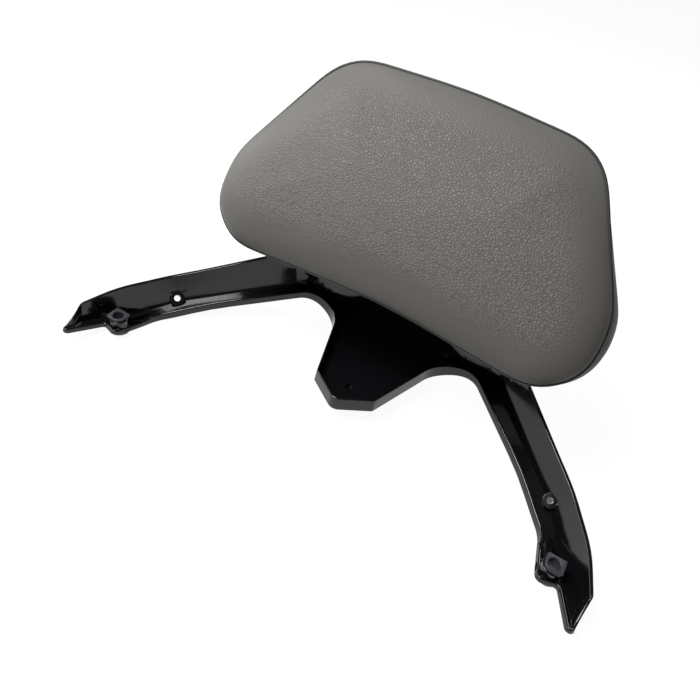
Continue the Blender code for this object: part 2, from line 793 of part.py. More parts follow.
def add_side_boss(casting, side):
    """The tilted boss at the foot of one arm's outer flank."""
    place = (side * SIDE_BOSS[0], SIDE_BOSS[1], SIDE_BOSS[2])
    axis = (side * SIDE_BOSS_AXIS[0], SIDE_BOSS_AXIS[1], SIDE_BOSS_AXIS[2])
    profile = [(SIDE_BOSS_RADIUS, -SIDE_BOSS_BACK), (SIDE_BOSS_RADIUS, SIDE_BOSS_FRONT)]
    combine(casting, turned_tool(profile, place, axis), "UNION")
    drill(casting, SIDE_BORE_RADIUS, place, axis, THROUGH / 2, THROUGH / 2)


def cut_nut_bore(casting, side):
    """The bore of one ear: wide for the nut's barrel, narrower through the foot."""
    x = side * NUT_PLACE[0]
    y = NUT_PLACE[1]
    shoulder = NUT_BOSS_TOP - NUT_BARREL_LENGTH - GAP
    wide = [(NUT_BARREL_RADIUS + GAP, shoulder), (NUT_BARREL_RADIUS + GAP, NUT_BOSS_TOP + THROUGH)]
    combine(casting, turned_tool(wide, (x, y, 0)), "DIFFERENCE")
    drill(casting, NUT_BORE_RADIUS, (x, y, 0))


def build_casting(surface):
    """The whole casting: tray, riser, ribs, bosses and their bores."""
    casting = build_tray()
    combine(casting, build_riser(), "UNION")
    for x in (-RISER_RIB_X, RISER_RIB_X):
        combine(casting, riser_rib(x), "UNION")
    for u in BOLT_COLUMNS:
        for v in BOLT_ROWS:
            seat = [(RISER_BOSS_RADIUS, -RISER_BOSS_HEIGHT), (RISER_BOSS_RADIUS, RISER_THICKNESS / 2)]
            place = on_pad(u, v, RISER_BACK)
            combine(casting, turned_tool(seat, place, PAD_AXIS, SMALL_SIDES), "UNION")
            drill(casting, BOLT_RADIUS + BOLT_CLEARANCE, place, PAD_AXIS, sides=SMALL_SIDES)
    for side in (-1, 1):
        add_nut_boss(casting, side)
        add_side_boss(casting, side)
        cut_nut_bore(casting, side)
        drill(casting, PLATE_HOLE_RADIUS, (side * PLATE_HOLE[0], PLATE_HOLE[1], 0), sides=SMALL_SIDES)
    drill(casting, TONGUE_HOLE_RADIUS, (*TONGUE_HOLE, 0), sides=SMALL_SIDES)
    return finish(casting, surface, 32)


def build_nut(name, side, surface):
    """The nut that sits in one ear's boss: a barrel under a flange with one round corner."""
    corners = [
        (-NUT_FLANGE_INNER, -NUT_FLANGE_FRONT, NUT_ROUND_CORNER),
        (NUT_FLANGE_OUTER, -NUT_FLANGE_FRONT, NUT_SOFT_CORNER),
        (NUT_FLANGE_OUTER, NUT_FLANGE_BACK, NUT_SHARP_CORNER),
        (-NUT_FLANGE_INNER, NUT_FLANGE_BACK, NUT_SHARP_CORNER),
    ]
    seat = NUT_BOSS_TOP + GAP
    outline = [(side * x, y, seat) for x, y in rounded_loop(corners, 0.0, PLAN_STEP)]
    nut = prism(outline, (0, 0, NUT_FLANGE_THICKNESS))
    nut.name = name
    barrel = [
        (NUT_BARREL_RADIUS, NUT_BOSS_TOP - NUT_BARREL_LENGTH),
        (NUT_BARREL_RADIUS, seat + NUT_FLANGE_THICKNESS / 2),
    ]
    combine(nut, turned_tool(barrel, (0, 0, 0)), "UNION")
    drill(nut, NUT_BORE_RADIUS, (0, 0, 0))
    return finish(nut, surface, place=Matrix.Translation((side * NUT_PLACE[0], NUT_PLACE[1], 0)))


# Pad


def pad_loop(inset):
    """The pad's outline, moved inwards by inset."""
    corners = mirrored([
        (0, PAD_BOTTOM, PAD_BOW_RADIUS),
        (*PAD_BOTTOM_CORNER, PAD_BOTTOM_CORNER_RADIUS),
        (*PAD_WIDEST, PAD_WIDEST_RADIUS),
        (*PAD_SIDE_CORNER, PAD_SIDE_CORNER_RADIUS),
        (*PAD_TOP_CORNER, PAD_TOP_CORNER_RADIUS),
        (0, PAD_TOP, PAD_BOW_RADIUS),
    ])
    return rounded_loop(corners, inset, PAD_STEP)


def pad_ring(inset, w):
    """The pad's outline as a ring of points at one depth."""
    return [(point.x, point.y, w) for point in pad_loop(inset)]


def dome_ring(share, lining):
    """One ring of the pad's front, lining below its skin: share 0 is the seam, 1 the spine."""
    ring = []
    for point in pad_loop(lining):
        spine = Vector((SPINE_HALF_LENGTH * point.x / PAD_WIDEST[0], SPINE_V))
        place = point.lerp(spine, share)
        reach = (spine - point).length * share
        roll = min(reach / EDGE_ROLL, 1)
        height = EDGE_ROLL_HEIGHT * math.sqrt(1 - (1 - roll) ** 2)
        height += (CROWN_HEIGHT - EDGE_ROLL_HEIGHT) * smooth_step(reach, 0, CROWN_REACH)
        height -= lining * min(roll / LINING_ROLL_SHARE, 1)
        ring.append((place.x, place.y, SEAM_CLEAR + height))
    return ring


def band_insets(w, extra=0.0):
    """Insets of the side band's outer face on each edge at one depth, plus an extra inset."""
    share = min(max((-w - SEAM_CLEAR) / (BAND_DEPTH - SEAM_CLEAR), 0), 1)
    low, high = next(pair for pair in zip(BAND_STATIONS, BAND_STATIONS[1:]) if share <= pair[1])
    along = (share - low) / (high - low)
    right = []
    for bulge, taper in zip(BAND_BULGES, BAND_TAPERS):
        insets = [taper * end * end - bulge * 4 * end * (1 - end) for end in (low, high)]
        right.append(insets[0] + (insets[1] - insets[0]) * along + extra)
    return right + right[::-1]


def build_front_cover(surface):
    """The crowned front panel: a thin shell from the seam over the dome."""
    outer = [dome_ring(share, 0.0) for share in (0, *DOME_SHARES)]
    inner = [dome_ring(share, COVER_THICKNESS) for share in (0, *DOME_SHARES)]
    bm = bmesh.new()
    made = [[bm.verts.new(point) for point in ring] for ring in inner[::-1] + outer]
    for lower, upper in zip(made, made[1:]):
        bridge(bm, lower, upper)
    fill_spine(bm, made[0])
    fill_spine(bm, made[-1])
    return finish(make_object("front_cover", bm), surface, 60, PAD_TO_WORLD)


def fill_spine(bm, ring):
    """Close a ring of the dome with strips between its two long sides."""
    found = bmesh.ops.contextual_create(bm, geom=ring)
    bmesh.ops.triangulate(bm, faces=found["faces"])


def build_foam(surface):
    """The foam block: its front follows the cover's inside, its sides the band's."""
    bm = bmesh.new()
    depths = (FOAM_BACK, FOAM_BACK / 2, -SEAM_CLEAR)
    rings = [pad_ring(band_insets(w, BAND_THICKNESS + SOFT_GAP), w) for w in depths]
    rings += [dome_ring(share, LINING) for share in (0, *DOME_SHARES)]
    made = [[bm.verts.new(point) for point in ring] for ring in rings]
    for lower, upper in zip(made, made[1:]):
        bridge(bm, lower, upper)
    fill_ring(bm, made[0])
    fill_spine(bm, made[-1])
    return finish(make_object("pad_foam", bm), surface, 60, PAD_TO_WORLD)


def build_side_band(surface):
    """The band round the pad's side, with its hem folded over the shell's back."""
    depth = BAND_DEPTH - SEAM_CLEAR
    depths = [-SEAM_CLEAR - station * depth for station in BAND_STATIONS]
    hem_face = -BAND_DEPTH - SOFT_GAP
    hem_back = hem_face - BAND_THICKNESS
    section = [(w, w, 0.0) for w in depths]
    section += [
        (-BAND_DEPTH, hem_back, HEM_ROUND),
        (-BAND_DEPTH, hem_back, HEM_WIDTH),
        (-BAND_DEPTH, hem_face, HEM_WIDTH),
        (-BAND_DEPTH, hem_face, HEM_ROUND),
    ]
    section += [(w, w, BAND_THICKNESS) for w in depths[::-1]]
    rings = [pad_ring(band_insets(at, extra), w) for at, w, extra in section]
    band = make_object("side_band", solid_from_rings(rings, closed=True))
    return finish(band, surface, 60, PAD_TO_WORLD)


def build_piping(surface):
    """The cord in the seam between the front cover and the side band."""
    centre = COVER_THICKNESS - PIPING_RADIUS
    rings = []
    for side in range(PIPING_SIDES):
        angle = math.tau * side / PIPING_SIDES
        inset = centre + PIPING_RADIUS * math.cos(angle)
        rings.append(pad_ring(inset, PIPING_RADIUS * math.sin(angle)))
    piping = make_object("seam_piping", solid_from_rings(rings, closed=True))
    return finish(piping, surface, 70, PAD_TO_WORLD)


def build_base_shell(surface):
    """The moulded shell that the pad is built on: plate, wall, ribs and four bosses."""
    clear = BAND_THICKNESS + SOFT_GAP
    shell = make_object("pad_base_shell", solid_from_rings([
        pad_ring(band_insets(-BAND_DEPTH, clear), -BAND_DEPTH),
        pad_ring(band_insets(PAN_FLOOR, clear), PAN_FLOOR),
        pad_ring(band_insets(PAN_RIM, clear), PAN_RIM),
        pad_ring(band_insets(PAN_RIM, clear + PAN_WALL), PAN_RIM),
        pad_ring(band_insets(PAN_FLOOR, clear + PAN_WALL), PAN_FLOOR),
    ]))
    half = PAN_RIB_THICKNESS / 2
    low = PAN_FLOOR - PAN_PLATE / 2
    reach = PAD_WIDEST[0] + max(BAND_BULGES)
    high = PAN_RIM - GAP
    ribs = [block((u - half, PAD_BOTTOM, low), (u + half, PAD_TOP, high)) for u in PAN_RIB_COLUMNS]
    ribs += [block((-reach, v - half, low), (reach, v + half, high)) for v in PAN_RIB_ROWS]
    lattice = ribs[0]
    for rib in ribs[1:]:
        combine(lattice, rib, "UNION")
    middle = clear + PAN_WALL / 2
    inside = [
        pad_ring(band_insets(PAN_FLOOR, middle), low - PAN_PLATE / 4),
        pad_ring(band_insets(PAN_RIM, middle), PAN_RIM),
    ]
    combine(lattice, make_object("tool", solid_from_rings(inside)), "INTERSECT")
    combine(shell, lattice, "UNION")
    boss = [(PAN_BOSS_RADIUS, -PAN_PLATE / 2), (PAN_BOSS_RADIUS, PAN_BOSS_HEIGHT)]
    for u in BOLT_COLUMNS:
        for v in BOLT_ROWS:
            combine(shell, turned_tool(boss, (u, v, PAN_FLOOR), sides=SMALL_SIDES), "UNION")
            drill(shell, INSERT_BARREL_RADIUS + GAP, (u, v, PAN_FLOOR), sides=SMALL_SIDES)
    return finish(shell, surface, place=PAD_TO_WORLD)


# Pad fasteners


def insert_profile():
    """A threaded insert: flange above, barrel below, with its bore."""
    bore = BOLT_RADIUS + GAP
    return [
        (bore, -INSERT_BARREL_LENGTH), (INSERT_BARREL_RADIUS, -INSERT_BARREL_LENGTH),
        (INSERT_BARREL_RADIUS, 0), (INSERT_FLANGE_RADIUS, 0),
        (INSERT_FLANGE_RADIUS, INSERT_FLANGE_THICKNESS), (bore, INSERT_FLANGE_THICKNESS),
    ]


def washer_profile():
    """A flat washer that hangs below its seat."""
    bore = BOLT_RADIUS + GAP
    return [
        (bore, -WASHER_THICKNESS), (WASHER_RADIUS, -WASHER_THICKNESS),
        (WASHER_RADIUS, 0), (bore, 0),
    ]


def spring_washer():
    """A split ring of square section that hangs below its seat."""
    bore = BOLT_RADIUS + GAP
    section = (
        (bore, 0), (SPRING_WASHER_RADIUS, 0),
        (SPRING_WASHER_RADIUS, -SPRING_WASHER_THICKNESS), (bore, -SPRING_WASHER_THICKNESS),
    )
    bm = bmesh.new()
    rings = []
    for step in range(SMALL_SIDES + 1):
        angle = (math.tau - SPRING_WASHER_SPLIT) * step / SMALL_SIDES
        rings.append([
            bm.verts.new((radius * math.cos(angle), radius * math.sin(angle), height))
            for radius, height in section
        ])
    for lower, upper in zip(rings, rings[1:]):
        bridge(bm, lower, upper)
    bm.faces.new(rings[0])
    bm.faces.new(rings[-1][::-1])
    return make_object("pad_spring_washer", bm)


def bolt():
    """A socket head bolt whose head hangs below its seat and whose shank rises from it."""
    profile = [
        (BOLT_HEAD_RADIUS - BOLT_HEAD_CHAMFER, -BOLT_HEAD_HEIGHT),
        (BOLT_HEAD_RADIUS, BOLT_HEAD_CHAMFER - BOLT_HEAD_HEIGHT),
        (BOLT_HEAD_RADIUS, 0), (BOLT_RADIUS, 0),
        (BOLT_RADIUS, BOLT_LENGTH - BOLT_HEAD_CHAMFER),
        (BOLT_RADIUS - BOLT_HEAD_CHAMFER, BOLT_LENGTH),
    ]
    made = make_object("pad_bolt", turned(profile, SMALL_SIDES))
    corner = BOLT_SOCKET_ACROSS_FLATS / math.sqrt(3)
    socket = [
        (corner, -BOLT_HEAD_HEIGHT - THROUGH), (corner, BOLT_SOCKET_DEPTH - BOLT_HEAD_HEIGHT),
    ]
    combine(made, turned_tool(socket, (0, 0, 0), sides=6), "DIFFERENCE")
    return made


def build_fasteners(steel, black_steel, brass):
    """Insert, washers and bolt at each of the four places, sharing one mesh of each kind."""
    kinds = (
        ("thread_insert", make_object("thread_insert", turned(insert_profile(), SMALL_SIDES, True)),
         INSERT_SEAT, brass),
        ("pad_washer", make_object("pad_washer", turned(washer_profile(), SMALL_SIDES, True)),
         WASHER_SEAT, steel),
        ("pad_spring_washer", spring_washer(), SPRING_SEAT, steel),
        ("pad_bolt", bolt(), HEAD_SEAT, black_steel),
    )
    places = [(u, v) for v in BOLT_ROWS for u in BOLT_COLUMNS]
    for name, first, level, surface in kinds:
        finish(first, surface)
        for number, (u, v) in enumerate(places, start=1):
            copy = bpy.data.objects.new(f"{name}_{number}", first.data)
            bpy.context.scene.collection.objects.link(copy)
            copy.matrix_world = PAD_TO_WORLD @ Matrix.Translation((u, v, level))
        bpy.data.objects.remove(first, do_unlink=True)


def hang_on_seat():
    """Parent every piece to an empty that puts the seat under the tongue on the origin."""
    pieces = [item for item in bpy.data.objects if item.type == "MESH"]
    seat = bpy.data.objects.new("seat_frame", None)
    bpy.context.scene.collection.objects.link(seat)
    seat.location = -Vector(SEAT_PLACE)
    for piece in pieces:
        piece.parent = seat


def main():
    """Build every piece."""
    clear_scene()
    gloss_black = material("gloss_black_casting", (0.012, 0.012, 0.014), 0.12)
    dark_zinc = material("dark_zinc", (0.045, 0.045, 0.055), 0.5, 0.6)
    black_plastic = material("black_plastic", (0.02, 0.02, 0.02), 0.55)
    foam = material("grey_foam", (0.25, 0.25, 0.24), 0.95)
    front_leather = material("warm_grey_leatherette", (0.125, 0.12, 0.108), 0.45)
    side_leather = material("dark_grey_leatherette", (0.06, 0.06, 0.06), 0.5)
    cord = material("black_piping", (0.01, 0.01, 0.01), 0.5)
    steel = material("bright_zinc", (0.6, 0.6, 0.58), 0.35, 1.0)
    black_steel = material("black_oxide_steel", (0.03, 0.03, 0.03), 0.4, 0.8)
    brass = material("brass", (0.65, 0.48, 0.2), 0.35, 1.0)
    build_casting(gloss_black)
    build_nut("arm_nut_left", -1, dark_zinc)
    build_nut("arm_nut_right", 1, dark_zinc)
    build_base_shell(black_plastic)
    build_foam(foam)
    build_front_cover(front_leather)
    build_side_band(side_leather)
    build_piping(cord)
    build_fasteners(steel, black_steel, brass)
    hang_on_seat()


main()
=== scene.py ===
"""Looks of a scooter's backrest: a leatherette pad on a gloss black cast bracket.

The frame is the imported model's: +X to the rider's right, -Y forward, +Z up, in metres. The pad
has a frame of its own: u across, v up the pad and w out of its front, from the seam's foot.
"""
import math

import bmesh
import bpy
from mathutils import Matrix, Vector, geometry

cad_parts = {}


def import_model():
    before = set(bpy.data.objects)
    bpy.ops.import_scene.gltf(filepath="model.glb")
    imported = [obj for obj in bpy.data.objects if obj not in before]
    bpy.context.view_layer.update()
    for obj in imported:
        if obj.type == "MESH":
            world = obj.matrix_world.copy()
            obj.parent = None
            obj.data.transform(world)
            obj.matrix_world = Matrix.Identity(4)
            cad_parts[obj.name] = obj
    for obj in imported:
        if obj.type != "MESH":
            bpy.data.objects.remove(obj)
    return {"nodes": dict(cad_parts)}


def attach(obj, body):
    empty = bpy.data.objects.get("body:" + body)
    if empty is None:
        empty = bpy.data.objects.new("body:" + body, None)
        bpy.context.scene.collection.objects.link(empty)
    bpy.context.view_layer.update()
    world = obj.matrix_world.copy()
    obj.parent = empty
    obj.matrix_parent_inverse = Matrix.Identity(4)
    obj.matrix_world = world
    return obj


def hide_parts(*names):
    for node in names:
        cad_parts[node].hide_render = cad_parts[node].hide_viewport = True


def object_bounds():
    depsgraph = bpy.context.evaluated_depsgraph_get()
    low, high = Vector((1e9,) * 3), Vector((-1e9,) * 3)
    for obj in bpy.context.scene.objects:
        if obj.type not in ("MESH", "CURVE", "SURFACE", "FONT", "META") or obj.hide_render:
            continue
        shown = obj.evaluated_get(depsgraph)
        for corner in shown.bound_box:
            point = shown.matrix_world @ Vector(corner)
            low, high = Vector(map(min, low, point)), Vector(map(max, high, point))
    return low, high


MM = 0.001

# Camera
CAMERA_PLACE = (0.12744, -0.36929, 0.38421)
CAMERA_AIM = (-0.03166, 0.04141, -0.02324)
CAMERA_ROLL = math.radians(12.86)
CAMERA_LENS = 32.914
CAMERA_SENSOR = 36
AMBIENT = 0.1
FLOOR_GLOW = 1.18
FLOOR_GLOW_SHARE = 0.8

# Pad: the plane of its seam and the seam's outline, right half from the bottom
PAD_FOOT = (0, -11.1 * MM, 87.5 * MM)
PAD_ANGLE = math.radians(54)
PAD_CORNERS = (
    (0, 1.3 * MM, 500 * MM),
    (129 * MM, -7.5 * MM, 33 * MM),
    (157.5 * MM, 15 * MM, 33 * MM),
    (156.6 * MM, 58 * MM, 50 * MM),
    (100.5 * MM, 158.6 * MM, 46 * MM),
    (0, 163.9 * MM, 500 * MM),
)
PAD_MIDDLE = Vector((0, 80 * MM))
SEAM_POINTS = 160
SEAM_SMOOTHING = 4
EDGE_STEP = 3 * MM
FILLET_STEP = math.radians(4)

# Pad: the front's roll and crown, and the band round its side
EDGE_ROLL = 36 * MM
EDGE_ROLL_HEIGHT = 15 * MM
CROWN_HEIGHT = 19 * MM
CROWN_REACH = 85 * MM
TOP_FLATTENING = 0.75
TOP_BLEND = (70 * MM, 150 * MM)
FRONT_RINGS = 22
FRONT_RING_POWER = 1.45
GRID_SHARE = 0.42
BAND_DEPTH = 38 * MM
BAND_RINGS = 12
BULGE_HEIGHTS = (0, 40 * MM, 60 * MM, 110 * MM, 160 * MM)
BULGES = (3 * MM, 7 * MM, 7 * MM, 4 * MM, 0.5 * MM)
BOTTOM_BULGE = 1.5 * MM
TAPERS = (3 * MM, 4 * MM, 4 * MM, 5 * MM, 7 * MM)
COVER_THICKNESS = 1.2 * MM
PIPING_RADIUS = 1.1 * MM
PIPING_SIDES = 10
HEM_WIDTH = 12 * MM

# Bracket: where the point that its sizes are drawn from lies, then its plan's right half
BRACKET_PLACE = (0, -75 * MM, -14 * MM)
REAR_CORNER_X = 105 * MM
REAR_WALL_Y = 136 * MM
REAR_CORNER_RADIUS = 26 * MM
ARM_OUTER_X = 189.5 * MM
ARM_OUTER_Y = 55 * MM
REAR_CORNER_TURN = math.atan2(REAR_WALL_Y - ARM_OUTER_Y, ARM_OUTER_X - REAR_CORNER_X)
BRACKET_CORNERS = (
    (0, 22.5 * MM, 9 * MM),
    (28 * MM, 41.5 * MM, 4 * MM),
    (59.5 * MM, 140 * MM, 27 * MM),
    (150 * MM, 59.5 * MM, 260 * MM),
    (181.8 * MM, 22.5 * MM, 26 * MM),
    (189 * MM, -18 * MM, 5.5 * MM),
    (204.5 * MM, -13.5 * MM, 2.4 * MM),
    (220.8 * MM, -53.8 * MM, 3.6 * MM),
    (225 * MM, -17 * MM, 9 * MM),
    (215.5 * MM, 14 * MM, 110 * MM),
    (ARM_OUTER_X, ARM_OUTER_Y, 110 * MM),
    (REAR_CORNER_X, REAR_WALL_Y, REAR_CORNER_RADIUS),
)
BRACKET_EDGES = (
    "nose", "tongue", "arm_inner", "arm_inner", "ear", "ear", "tip_inner", "tip_outer",
    "shoulder", "arm_outer", "arm_outer", "rear",
)
OUTER_SHARES = (0, 0, 0, 0, 0, 0, 0, 0, 1, 1, 1, 1)
FLANKED_EDGES = {"shoulder": 3.2 * MM, "arm_outer": 8 * MM, "rear": 5 * MM}
FLANK_PROFILE = (
    (0.25, 0.74), (0.5, 0.48), (0.66, 0.31), (0.77, 0.19), (0.86, 0.1), (0.94, 0.03), (1, 0),
)
FLOOR_GRID = 14 * MM
GRID_CLEAR_SHARE = 0.55
ROUND_STEPS = 4
MERGE = 0.004 * MM
CASTING_SHARP = 34

# Bracket: walls and heights
FLOOR_THICKNESS = 3 * MM
OUTER_WALL = 3.8 * MM
INNER_WALL = 2.8 * MM
WALL_DRAFT = 0.7 * MM
RIM_ROUND = 1 * MM
RIM_INNER_ROUND = 0.8 * MM
UNDERSIDE_ROUND = 1.3 * MM
FOOT_FILLET = 1.6 * MM
TONGUE_UNDERSIDE = 14 * MM
TONGUE_DEPTH = 12.5 * MM
INNER_LIP_DEPTH = 6.6 * MM
EAR_LEDGE_DEPTH = 4.6 * MM
KNEE_Y = 22 * MM
KNEE_UNDERSIDE = 0.6 * MM
KNEE_BLEND = 9 * MM
REAR_SLOPE = 0.25
FRONT_SLOPE = 0.185
RIM_BEND_Y = 58 * MM
RIM_BEND_HEIGHT = 33.2 * MM
RIM_BEND_BLEND = 10 * MM
RIM_FRONT_SLOPE = 0.085
RIM_REAR_SLOPE = 0.37
TONGUE_EDGE_X = 44 * MM
ARM_EDGE_X = 92 * MM
LEDGE_START_Y = 22 * MM
LEDGE_END_Y = 12 * MM

# Bracket: bosses, holes and nuts
GAP = 0.3 * MM
TURNED_SIDES = 48
THROUGH = 30 * MM
BOSS_ROUND = 0.7 * MM
NUT_PLACE = (196.5 * MM, -4.8 * MM)
NUT_BOSS_TOP = 17.4 * MM
NUT_BOSS_RADIUS = 7.8 * MM
NUT_BOSS_FILLET = 2.4 * MM
NUT_BOSS_SINK = 1 * MM
NUT_FOOT_RADIUS = 9.2 * MM
NUT_FOOT_LEVEL = 4.6 * MM
NUT_BORE_RADIUS = 4.4 * MM
NUT_BARREL_RADIUS = 6 * MM
NUT_BARREL_LENGTH = 6.5 * MM
NUT_FLANGE_THICKNESS = 2.4 * MM
NUT_CORNERS = (
    (-6.5 * MM, -6.8 * MM, 6.2 * MM),
    (7.4 * MM, -6.8 * MM, 2.5 * MM),
    (7.4 * MM, 7 * MM, 1 * MM),
    (-6.5 * MM, 7 * MM, 1 * MM),
)
NUT_ROUND = 0.4 * MM
NUT_CHAMFER = 0.6 * MM
RIB_THICKNESS = 2 * MM
RIB_RISE = 6 * MM
RIB_ROUND = 0.5 * MM
RIB_ENDS = ((183.8 * MM, 15 * MM), (190 * MM, 24 * MM))
SIDE_BOSS = (180 * MM, 49.5 * MM, 13.5 * MM)
SIDE_BOSS_AXIS = (-0.5, -0.5, 0.70)
SIDE_BOSS_RADIUS = 6.6 * MM
SIDE_BOSS_BACK = 8.5 * MM
SIDE_BOSS_FRONT = 2.5 * MM
SIDE_BORE_RADIUS = 2.8 * MM
TONGUE_HOLE = (0, 51 * MM)
TONGUE_HOLE_RADIUS = 3.1 * MM
TONGUE_HOLE_FLOOR = 0.8 * MM

# Bracket: the riser behind the pad and the pad's bolts
RISER_BACK = -44.3 * MM
RISER_THICKNESS = 6 * MM
RISER_EDGE_THICKNESS = 3 * MM
RISER_EDGE_SHARE = 0.14
RISER_BACK_INSET = 1.2 * MM
RISER_ROOT_RISE = 1.5 * MM
RISER_BEND_Z = 52 * MM
RISER_FLAT_Z = 104 * MM
RISER_CONTACT_START = 45 * MM
RISER_TOP = 130 * MM
RISER_BEND_RADIUS = 26 * MM
RISER_NECK = (104 * MM, 92 * MM)
RISER_NECK_BLEND = 8 * MM
RISER_LOWER_LEAN = 0.82
RISER_UPPER_LEAN = 0.48
RISER_TOP_CORNER = 20 * MM
RISER_TOP_STEPS = 8
RISER_COLUMNS = 16
RISER_ROW_STEP = 7 * MM
EDGE_ROUND_STEPS = 4
RISER_RIB_X = 22 * MM
RISER_RIB_THICKNESS = 4 * MM
RISER_RIB_DEPTH = 9 * MM
RISER_RIB_END_DEPTH = 1 * MM
RISER_RIB_ROOT_Z = 34 * MM
RISER_BOSS_RADIUS = 9 * MM
RISER_BOSS_HEIGHT = 2.5 * MM
BOLT_COLUMNS = (-44 * MM, 44 * MM)
BOLT_ROWS = (68 * MM, 108 * MM)
BOLT_HOLE_RADIUS = 3.5 * MM

# Cloth
CLOTH_PRESSURE = 4
CLOTH_FRAMES = 20
CLOTH_CAP = 5 * MM
CLOTH_EVENING = 12
# Painted shade: the factor that darkens the cover's colour where its grain is weak, near the seam,
# where the roll turns from the light
EDGE_PAINTED_SHADE = 0.75


# Curves and loops


def smooth_step(value, low, high):
    """0 at low, 1 at high, with level ends."""
    share = min(max((value - low) / (high - low), 0.0), 1.0)
    return share * share * (3 - 2 * share)


def between(value, places, levels):
    """The level at a value, on straight lines between places."""
    for index in range(len(places) - 1):
        if value <= places[index + 1]:
            share = (value - places[index]) / (places[index + 1] - places[index])
            return levels[index] + (levels[index + 1] - levels[index]) * max(share, 0)
    return levels[-1]


def turn_between(along_in, along_out):
    """Signed angle from one direction to the next."""
    return math.atan2(along_in.cross(along_out), along_in.dot(along_out))


def arc(start, along, turn, radius, steps):
    """Points of an arc that leaves start along a direction and turns by a signed angle."""
    side = Vector((-along.y, along.x)) * math.copysign(radius, turn)
    points = []
    for step in range(steps + 1):
        spoke = -side
        spoke.rotate(Matrix.Rotation(turn * step / steps, 2))
        points.append(start + side + spoke)
    return points


def corner_directions(corners, index):
    """Unit directions into and out of one corner of a closed outline."""
    before, here, after = (
        Vector(corners[(index + shift) % len(corners)][:2]) for shift in (-1, 0, 1)
    )
    return (here - before).normalized(), (after - here).normalized()


def corner_steps(corners, index):
    """How many chords one corner's fillet gets."""
    turn = turn_between(*corner_directions(corners, index))
    return max(2, round(abs(turn) / FILLET_STEP))


def edge_pieces(corners, index):
    """How many pieces the edge after one corner is cut into."""
    here = Vector(corners[index][:2])
    after = Vector(corners[(index + 1) % len(corners)][:2])
    return max(1, round((after - here).length / EDGE_STEP))


def rounded_loop(corners, insets=0.0):
    """Points of a closed counterclockwise outline with filleted corners.

    corners holds (x, y, radius). insets moves each edge inwards, one value for each edge or one
    for all. Loops made from the same corners have matching points, whatever their insets.
    """
    count = len(corners)
    if not hasattr(insets, "__len__"):
        insets = [insets] * count
    fillets = []
    for index in range(count):
        along_in, along_out = corner_directions(corners, index)
        turn = turn_between(along_in, along_out)
        inset_in = insets[index - 1]
        inset_out = insets[index]
        moved = (along_out * inset_in - along_in * inset_out) / math.sin(turn)
        place = Vector(corners[index][:2]) + moved
        shift = (inset_in + inset_out) / 2
        radius = max(corners[index][2] - math.copysign(shift, turn), 0.5 * MM)
        tangent = radius * math.tan(abs(turn) / 2)
        start = place - along_in * tangent
        fillets.append(arc(start, along_in, turn, radius, corner_steps(corners, index)))
    points = []
    for index in range(count):
        points += fillets[index]
        pieces = edge_pieces(corners, index)
        finish_point = fillets[index][-1]
        next_start = fillets[(index + 1) % count][0]
        for piece in range(1, pieces):
            points.append(finish_point.lerp(next_start, piece / pieces))
    return points


def mirrored(half):
    """A closed loop of corners from its right half, given counterclockwise from the bottom."""
    left = [(-x, y, radius) for x, y, radius in reversed(half) if x > 0]
    return list(half) + left


def even_loop(points, count):
    """A closed loop's points again, evenly spaced, from the lowest one on the middle plane."""
    start = min(range(len(points)), key=lambda index: (abs(points[index].x), points[index].y))
    points = points[start:] + points[:start]
    lengths = [0.0]
    for here, after in zip(points, points[1:] + points[:1]):
        lengths.append(lengths[-1] + (after - here).length)
    closed = points + points[:1]
    even = []
    index = 0
    for step in range(count):
        wanted = lengths[-1] * step / count
        while lengths[index + 1] < wanted:
            index += 1
        share = (wanted - lengths[index]) / (lengths[index + 1] - lengths[index])
        even.append(closed[index].lerp(closed[index + 1], share))
    return even


def smoothed_loop(points, passes):
    """A closed loop after a few passes of averaging with its neighbours."""
    for _ in range(passes):
        points = [
            (points[index - 1] + points[index] * 2 + points[(index + 1) % len(points)]) / 4
            for index in range(len(points))
        ]
    return points


def loop_normals(points):
    """Outward unit normals of a closed counterclockwise loop."""
    normals = []
    for index in range(len(points)):
        along = points[(index + 1) % len(points)] - points[index - 1]
        normals.append(Vector((along.y, -along.x)).normalized())
    return normals


# Objects


def make_object(name, bm, smooth_angle=None):
    """Turn a bmesh into a named, smooth shaded object."""
    mesh = bpy.data.meshes.new(name)
    bm.to_mesh(mesh)
    bm.free()
    item = bpy.data.objects.new(name, mesh)
    bpy.context.scene.collection.objects.link(item)
    mesh.shade_smooth()
    if smooth_angle is not None:
        mesh.set_sharp_from_angle(angle=math.radians(smooth_angle))
    return item


def apply_modifiers(item):
    """Put the evaluated mesh in place of the modifiers."""
    bpy.context.view_layer.update()
    evaluated = item.evaluated_get(bpy.context.evaluated_depsgraph_get())
    mesh = bpy.data.meshes.new_from_object(evaluated)
    item.modifiers.clear()
    item.data = mesh
    mesh.shade_smooth()


def bridge(bm, lower, upper):
    """Quads between two closed rings of vertices."""
    count = len(lower)
    for index in range(count):
        after = (index + 1) % count
        bm.faces.new((lower[index], lower[after], upper[after], upper[index]))


# Material nodes


